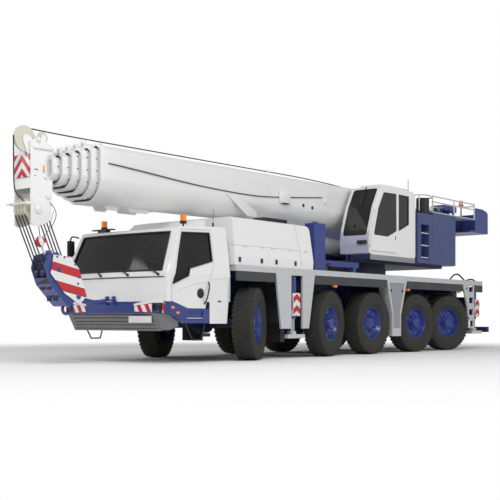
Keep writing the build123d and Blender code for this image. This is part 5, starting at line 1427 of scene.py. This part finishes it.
@dataclass
class SuperDetails:
    """Roof cap, lamps, seals, hand tube and aerial of the crane cab, and the tail's drum cover and beam."""

    bench: Bench
    door_window: tuple[Pair, ...] = ((4.105, 2.6), (4.3, 3.2), (4.525, 3.565), (5.085, 3.58), (5.095, 2.74),
                                     (4.7, 2.59))
    side_window: tuple[Pair, ...] = ((5.25, 2.775), (5.25, 3.575), (5.675, 3.575), (5.675, 2.94))
    wall_x: float = 1.31
    cover: Pair = (8.76, 3.39)

    def build(self) -> None:
        """Build all pieces of the superstructure."""
        ring = [(self.wall_x + 0.001, y, z) for y, z in (*self.door_window, self.door_window[0])]
        self.bench.keep(self.bench.tube(ring, 0.013, smooth=False), "crane_door_seal", "crane_cab_door",
                        Finish.BLACK)
        ring = [(self.wall_x + 0.001, y, z) for y, z in (*self.side_window, self.side_window[0])]
        self.bench.keep(self.bench.tube(ring, 0.013, smooth=False), "crane_window_seal", "superstructure",
                        Finish.BLACK)
        self.lamps()
        self.rails()
        self.tail()

    def lamps(self) -> None:
        """Twin work lamp at the cab's lower front, and its bracket."""
        case = self.bench.block((1.04, 3.89, 2.395), (1.27, 3.96, 2.475), 0.012)
        self.bench.keep(case, "work_lamps", "superstructure", Finish.BLACK)
        lens = [self.bench.rod((x, 3.894, 2.435), (x, 3.884, 2.435), 0.032, 28, 0.003) for x in (1.1, 1.21)]
        self.bench.keep_all(lens, "work_lamp_lenses", "superstructure", Finish.LAMP, "glass")
        cap = self.bench.block((0.66, 4.62, 3.69), (1.25, 5.8, 3.765), 0.034)
        self.bench.keep(cap, "crane_cab_roof_cap", "superstructure", Finish.WHITE)

    def rails(self) -> None:
        """Hand tube at the front left edge, aerial, wiper and the door's handle."""
        tube = [(1.3, 3.99, 2.32), (1.352, 3.93, 2.36), (1.352, 3.95, 2.65), (1.352, 4.12, 3.12),
                (1.3, 4.2, 3.22)]
        self.bench.keep(self.bench.tube(tube, 0.014), "crane_cab_hand_tube", "superstructure", Finish.WHITE)
        aerial = self.bench.rod((1.2, 5.86, 3.69), (1.2, 5.86, 4.0), 0.007, 10)
        arm = self.bench.tube([(0.95, 4.46, 3.7), (0.95, 4.3, 3.56), (0.95, 4.17, 3.3)], 0.01)
        self.bench.keep_all([aerial, arm], "crane_cab_aerial_and_wiper", "superstructure", Finish.BLACK)
        handle = self.bench.tube([(1.308, 5.03, 2.5), (1.35, 5.03, 2.52), (1.35, 5.03, 2.64),
                                  (1.308, 5.03, 2.66)], 0.01)
        self.bench.keep(handle, "crane_door_handle", "crane_cab_door", Finish.BLACK)

    def tail(self) -> None:
        """Round cover over the rear winch, and the beam behind it."""
        section = [(-0.38, 0.29), (0.38, 0.29), (0.38, 0.305), (-0.38, 0.305)]
        cover = self.bench.lathe(section, 48, (0, *self.cover))
        bpy.ops.object.select_all(action="DESELECT")
        cover.select_set(True)
        bpy.context.view_layer.objects.active = cover
        bpy.ops.object.mode_set(mode="EDIT")
        bpy.ops.mesh.select_all(action="SELECT")
        bpy.ops.mesh.bisect(plane_co=(0, self.cover[0], self.cover[1] + 0.06), plane_no=(0, 0, 1),
                            clear_inner=True, use_fill=True)
        bpy.ops.object.mode_set(mode="OBJECT")
        self.bench.keep(cover, "winch_cover", "superstructure", Finish.WHITE)
        beam = self.bench.block((0.1, 9.0, 3.6), (0.5, 9.72, 3.77), 0.03)
        legs = [self.bench.block((x, y, 3.03), (x + 0.05, y + 0.08, 3.62), 0.006)
                for x in (0.14, 0.41) for y in (9.3, 9.6)]
        self.bench.keep_all([beam, *legs], "tail_beam", "superstructure", Finish.BLUE)
        rail = self.bench.tube([(1.3, 6.78, 3.69), (1.3, 6.7, 3.72), (1.3, 6.15, 3.68), (1.22, 6.08, 3.66),
                                (0.95, 6.08, 3.66)], 0.015)
        post = self.bench.rod((1.3, 6.2, 3.3), (1.3, 6.2, 3.685), 0.014, 14)
        self.bench.keep_all([rail, post], "drum_rail", "superstructure", Finish.GREY)


@dataclass
class BoomDetails:
    """Cables, ropes, limit weight and chevron board of the boom."""

    bench: Bench
    side: float = 0.468
    top_z: float = 3.64
    collar_y: float = -3.085
    collar_pitch: float = 0.172

    def build(self) -> None:
        """Build all pieces on the boom."""
        cable = [(self.side, -2.85, 3.36), (self.side + 0.012, -2.2, 3.33), (self.side, -0.9, 3.24),
                 (self.side, 0.5, 3.2), (self.side, 1.6, 3.22), (self.side, 3.4, 3.4)]
        self.bench.cord(cable, 0.01, "side_cable", "boom_1", Finish.ROPE)
        self.hoist_rope()
        self.limit_weight()
        self.chevron_board()
        self.side_gear()
        self.collar_gear()
        self.head_gear()

    def hoist_rope(self) -> None:
        """The hoist rope over the boom: one part on the base section, one on the head."""
        base = self.bench.tube([(0.1, 8.3, 3.57), (0.1, 5.0, 3.86), (0.12, 0.0, 3.8), (0.13, -3.0, 3.77)],
                               0.011)
        self.bench.keep(base, "hoist_rope_base", "boom_1", Finish.ROPE)
        front = self.bench.tube([(0.13, -3.02, 3.77), (0.14, -3.9, 3.76), (0.15, -4.32, 3.77)], 0.011)
        self.bench.keep(front, "hoist_rope_head", "boom_6", Finish.ROPE)

    def limit_weight(self) -> None:
        """The striped hoist limit weight on its rope below the head, with the chain to the hook."""
        rope = self.bench.tube([(0.1, -4.05, 2.46), (0.1, -4.02, 2.2), (0.1, -3.992, 2.07)], 0.007)
        loop = self.bench.tube([(0.1, -3.97, 2.06), (0.1, -3.86, 2.12), (0.1, -3.78, 2.3),
                                (0.1, -3.72, 2.52)], 0.004)
        self.bench.keep_all([rope, loop], "limit_rope", "boom_6", Finish.ROPE)
        box = self.bench.block((-0.06, -0.06, -0.07), (0.06, 0.06, 0.07), 0.008)
        lean = Matrix.Rotation(math.radians(-32), 4, "X")
        box.data.transform(Matrix.Translation((0.1, -3.992, 2.0)) @ lean)
        self.bench.keep(box, "limit_weight", "boom_6", Finish.STRIPES, "white_paint")
        links = []
        for step in range(5):
            z = 1.915 - step * 0.026
            ring = self.bench.lathe([(-0.004, 0.013), (0.004, 0.013), (0.004, 0.02), (-0.004, 0.02)], 12)
            turn = Matrix.Rotation(math.pi / 2 * (step % 2), 4, "Z")
            ring.data.transform(Matrix.Translation((0.1, -3.96 + step * 0.012, z)) @ turn)
            links.append(ring)
        self.bench.keep_all(links, "limit_chain", "hook", Finish.STEEL)

    def side_gear(self) -> None:
        """The cable's end box, the hand holes, a boss and a rope guide on the base section's left side."""
        box = self.bench.block((0.452, 1.85, 3.14), (0.505, 2.22, 3.39), 0.02)
        boss = self.bench.rod((0.44, 3.532, 3.32), (0.485, 3.532, 3.32), 0.055, 28, 0.012)
        guide = self.bench.block((0.452, 1.49, 3.45), (0.474, 1.53, 3.79), 0.006)
        self.bench.keep_all([box, boss, guide], "boom_side_gear", "boom_1", Finish.WHITE)
        slot = self.bench.block((0.46, 1.95, 3.128), (0.508, 2.15, 3.158), 0.006)
        holes = [self.bench.rod((0.43, y, z), (0.468, y, z), 0.038, 24, 0.004)
                 for y, z in ((2.72, 3.17), (3.05, 3.15))]
        self.bench.keep_all([slot, *holes], "boom_hand_holes", "boom_1", Finish.BLACK)

    def collar_gear(self) -> None:
        """Rope rollers between two ears on every collar, and the wear pads' screws on both its sides."""
        for number in range(1, 6):
            y = self.collar_y - self.collar_pitch * (number - 1)
            half = self.side + 0.018 - 0.037 * (number - 1)
            top = self.top_z - 0.056 * (number - 1)
            ears = [self.bench.plate([(x, y - 0.05, top - 0.02), (x, y + 0.02, top - 0.02), (x, y, top + 0.1),
                                      (x, y - 0.03, top + 0.1)], (0.012, 0, 0)) for x in (0.07, 0.17)]
            roller = self.bench.rod((0.08, y - 0.015, top + 0.055), (0.172, y - 0.015, top + 0.055), 0.018,
                                    16)
            self.bench.keep_all([*ears, roller], f"rope_roller_{number}", f"boom_{number}", Finish.WHITE)
            screws = [self.bench.rod((side * (half - 0.01), y - 0.045, z),
                                     (side * (half + 0.006), y - 0.045, z), 0.012, 8, 0.002)
                      for z in (3.0, 3.2, 3.4) for side in (1, -1)]
            self.bench.keep_all(screws, f"collar_screws_{number}", f"boom_{number}", Finish.DARK_GREY)

    def head_gear(self) -> None:
        """Pin covers and slots on the head's cheeks, the rope bar and the rope down the front."""
        covers = []
        for side in (1, -1):
            for y, z, radius in ((-4.13, 2.5, 0.07), (-4.12, 3.6, 0.04), (-3.93, 2.72, 0.045),
                                 (-3.98, 3.02, 0.03)):
                covers.append(self.bench.rod((side * 0.21, y, z), (side * 0.232, y, z), radius, 28, 0.006))
        covers.append(self.bench.rod((-0.3, -4.345, 2.585), (0.225, -4.345, 2.585), 0.014, 16))
        for x in (-0.21, 0.21):
            covers.append(self.bench.block((x - 0.01, -4.36, 2.56), (x + 0.01, -4.2, 2.61), 0.004))
        self.bench.keep_all(covers, "head_covers", "boom_6", Finish.WHITE)
        slots = [self.bench.block((0.212, -4.2, 3.12), (0.219, -4.13, 3.135), 0.002),
                 self.bench.block((0.212, -4.2, 3.02), (0.218, -4.17, 3.03), 0.002)]
        self.bench.keep_all(slots, "head_slots", "boom_6", Finish.BLACK)
        rope = self.bench.tube([(0.15, -4.556, 3.62), (0.15, -4.552, 3.2), (0.148, -4.548, 2.85),
                                (0.145, -4.5, 2.7), (0.14, -4.352, 2.62)], 0.011)
        self.bench.keep(rope, "front_rope", "boom_6", Finish.ROPE)
        droop = [(0.24, -3.9, 2.62), (0.2, -3.74, 2.52), (0.15, -3.72, 2.36), (0.12, -3.8, 2.22)]
        self.bench.cord(droop, 0.006, "hanging_cable", "boom_6", Finish.HOSE)

    def chevron_board(self) -> None:
        """The board with arrow stripes on the head's front."""
        board = self.bench.block((-0.19, -4.292, 3.0), (0.215, -4.284, 3.36), 0.003)
        self.bench.keep(board, "chevron_board", "boom_6", Finish.CHEVRON, "white_paint")
        marker = self.bench.block((0.214, -4.03, 3.09), (0.224, -4.0, 3.21), 0.004)
        self.bench.keep(marker, "side_marker", "boom_6", Finish.AMBER)


@dataclass
class HookDetails:
    """Bolts, case slots and the sling of the hook block."""

    bench: Bench
    bolts: tuple[Pair, ...] = ((-3.73, 1.77), (-3.8, 1.64), (-3.58, 1.77), (-3.27, 1.45), (-3.29, 1.345),
                               (-3.47, 1.22), (-3.74, 1.37), (-3.35, 1.66))

    def build(self) -> None:
        """Build all pieces on the hook block."""
        heads = [self.bench.rod((0.198, y, z), (0.212, y, z), 0.018, 12, 0.003) for y, z in self.bolts]
        heads.append(self.bench.rod((0.198, -3.281, 1.131), (0.222, -3.281, 1.131), 0.042, 24, 0.006))
        self.bench.keep_pair(heads, "hook_bolts", "hook", Finish.BLUE)
        slots = []
        for y, z in ((-3.93, 1.5), (-3.8, 1.28), (-3.66, 1.1)):
            for x in (-0.08, 0.08):
                slots.append(self.bench.block((x - 0.05, y - 0.015, z - 0.05), (x + 0.05, y + 0.01, z + 0.05),
                                              0.01))
        self.bench.keep_all(slots, "hook_case_slots", "hook", Finish.NAVY)
        lug = self.bench.block((0.06, -3.86, 1.79), (0.14, -3.78, 1.87), 0.012)
        self.bench.keep(lug, "hook_top_lug", "hook", Finish.BLUE)
        sling = self.bench.tube([(0.03, -3.2, 1.09), (0.04, -3.0, 1.07), (0.05, -2.75, 1.03),
                                 (0.07, -2.56, 1.07)], 0.046)
        self.bench.keep(sling, "hook_sling", "hook", Finish.BLUE)


# Light, floor and camera

@dataclass
class Studio:
    """Plain soft light, a white floor with a soft shadow, and the camera of the photo."""

    yaw: float = math.radians(38.83)
    place: Point = (12.418, -16.644, 0.756)
    lens: float = 69.57
    shift_y: float = 0.1387
    key: float = 1620.0
    fill: float = 1.0
    dim: float = 0.37
    fade: Pair = (7.0, 14.0)
    target: Point = (0.0, 0.0, 1.6)
    lamps: tuple[tuple[str, Point, float, float], ...] = (
        ("key_lamp", (9.0, -14.0, 15.0), 1.0, 9.0),
        ("side_lamp", (16.0, 4.0, 9.0), 0.55, 9.0),
        ("front_lamp", (-7.0, -16.0, 8.0), 0.35, 8.0))

    def build(self) -> None:
        """Build camera, lamps, floor and world."""
        scene = bpy.context.scene
        scene.view_settings.view_transform = "Standard"
        camera = bpy.data.cameras.new("camera")
        camera.lens = self.lens
        camera.sensor_width = 36.0
        camera.shift_y = self.shift_y
        camera.clip_end = 200.0
        holder = bpy.data.objects.new("camera", camera)
        holder.location = self.place
        holder.rotation_euler = (math.pi / 2, 0.0, self.yaw)
        scene.collection.objects.link(holder)
        scene.camera = holder
        for name, place, share, size in self.lamps:
            self.lamp(name, place, self.key * share, size)
        self.world()
        self.floor()

    def lamp(self, name: str, place: Point, power: float, size: float) -> None:
        """Add one soft lamp that looks at the machine's middle."""
        light = bpy.data.lights.new(name, "AREA")
        light.energy = power
        light.size = size
        holder = bpy.data.objects.new(name, light)
        holder.location = place
        way = Vector(self.target) - Vector(place)
        holder.rotation_euler = way.to_track_quat("-Z", "Y").to_euler()
        bpy.context.scene.collection.objects.link(holder)

    def world(self) -> None:
        """White for the camera and through glass, and an even grey for all other light."""
        world = bpy.data.worlds.new("world")
        world.use_nodes = True
        tree = world.node_tree
        background = tree.nodes["Background"]
        background.inputs["Color"].default_value = (1.0, 1.0, 1.0, 1.0)
        background.inputs["Strength"].default_value = self.fill
        rays = tree.nodes.new("ShaderNodeLightPath")
        dim = tree.nodes.new("ShaderNodeBackground")
        dim.inputs["Color"].default_value = (1.0, 1.0, 1.0, 1.0)
        dim.inputs["Strength"].default_value = self.dim
        mix = tree.nodes.new("ShaderNodeMixShader")
        most = tree.nodes.new("ShaderNodeMath")
        most.operation = "MAXIMUM"
        tree.links.new(rays.outputs["Is Camera Ray"], most.inputs[0])
        tree.links.new(rays.outputs["Is Transmission Ray"], most.inputs[1])
        tree.links.new(most.outputs[0], mix.inputs["Fac"])
        tree.links.new(dim.outputs["Background"], mix.inputs[1])
        tree.links.new(background.outputs["Background"], mix.inputs[2])
        tree.links.new(mix.outputs["Shader"], tree.nodes["World Output"].inputs["Surface"])
        bpy.context.scene.world = world

    def floor(self) -> None:
        """A round white floor that fades into the background."""
        bpy.ops.object.select_all(action="DESELECT")
        bpy.ops.mesh.primitive_circle_add(vertices=96, radius=60.0, fill_type="NGON", location=(0, 0, -0.001))
        piece = bpy.context.active_object
        bpy.ops.object.transform_apply(location=True, rotation=True, scale=True)
        piece.name = "floor"
        bench = ShaderBench("floor_white")
        bench.constant(Base_Color=(0.95, 0.95, 0.95, 1), Roughness=0.9, Specular_IOR_Level=0.1)
        coordinates = bench.node("ShaderNodeTexCoord")
        length = bench.node("ShaderNodeVectorMath", operation="LENGTH")
        ramp = bench.node("ShaderNodeMapRange", interpolation_type="SMOOTHSTEP")
        ramp.inputs["From Min"].default_value = self.fade[0]
        ramp.inputs["From Max"].default_value = self.fade[1]
        ramp.inputs["To Min"].default_value = 1.0
        ramp.inputs["To Max"].default_value = 0.0
        bench.link(coordinates.outputs["Object"], length.inputs[0])
        bench.link(length.outputs["Value"], ramp.inputs["Value"])
        bench.link(ramp.outputs["Result"], bench.shader.inputs["Alpha"])
        piece.data.materials.append(bench.material)


def main() -> None:
    """Dress the nodes and build every piece of the render."""
    logging.basicConfig(level=logging.INFO, format="%(name)s %(message)s")
    book = FinishBook()
    bench = Bench(book)
    NodeDresser(book).dress_all()
    WheelSet(bench).build()
    CabDetails(bench).build()
    FrontDetails(bench).build()
    DeckDetails(bench).build()
    SuperDetails(bench).build()
    BoomDetails(bench).build()
    HookDetails(bench).build()
    Studio().build()
    log.info("%d pieces in all", bench.count)


if __name__ == "__main__":
    main()
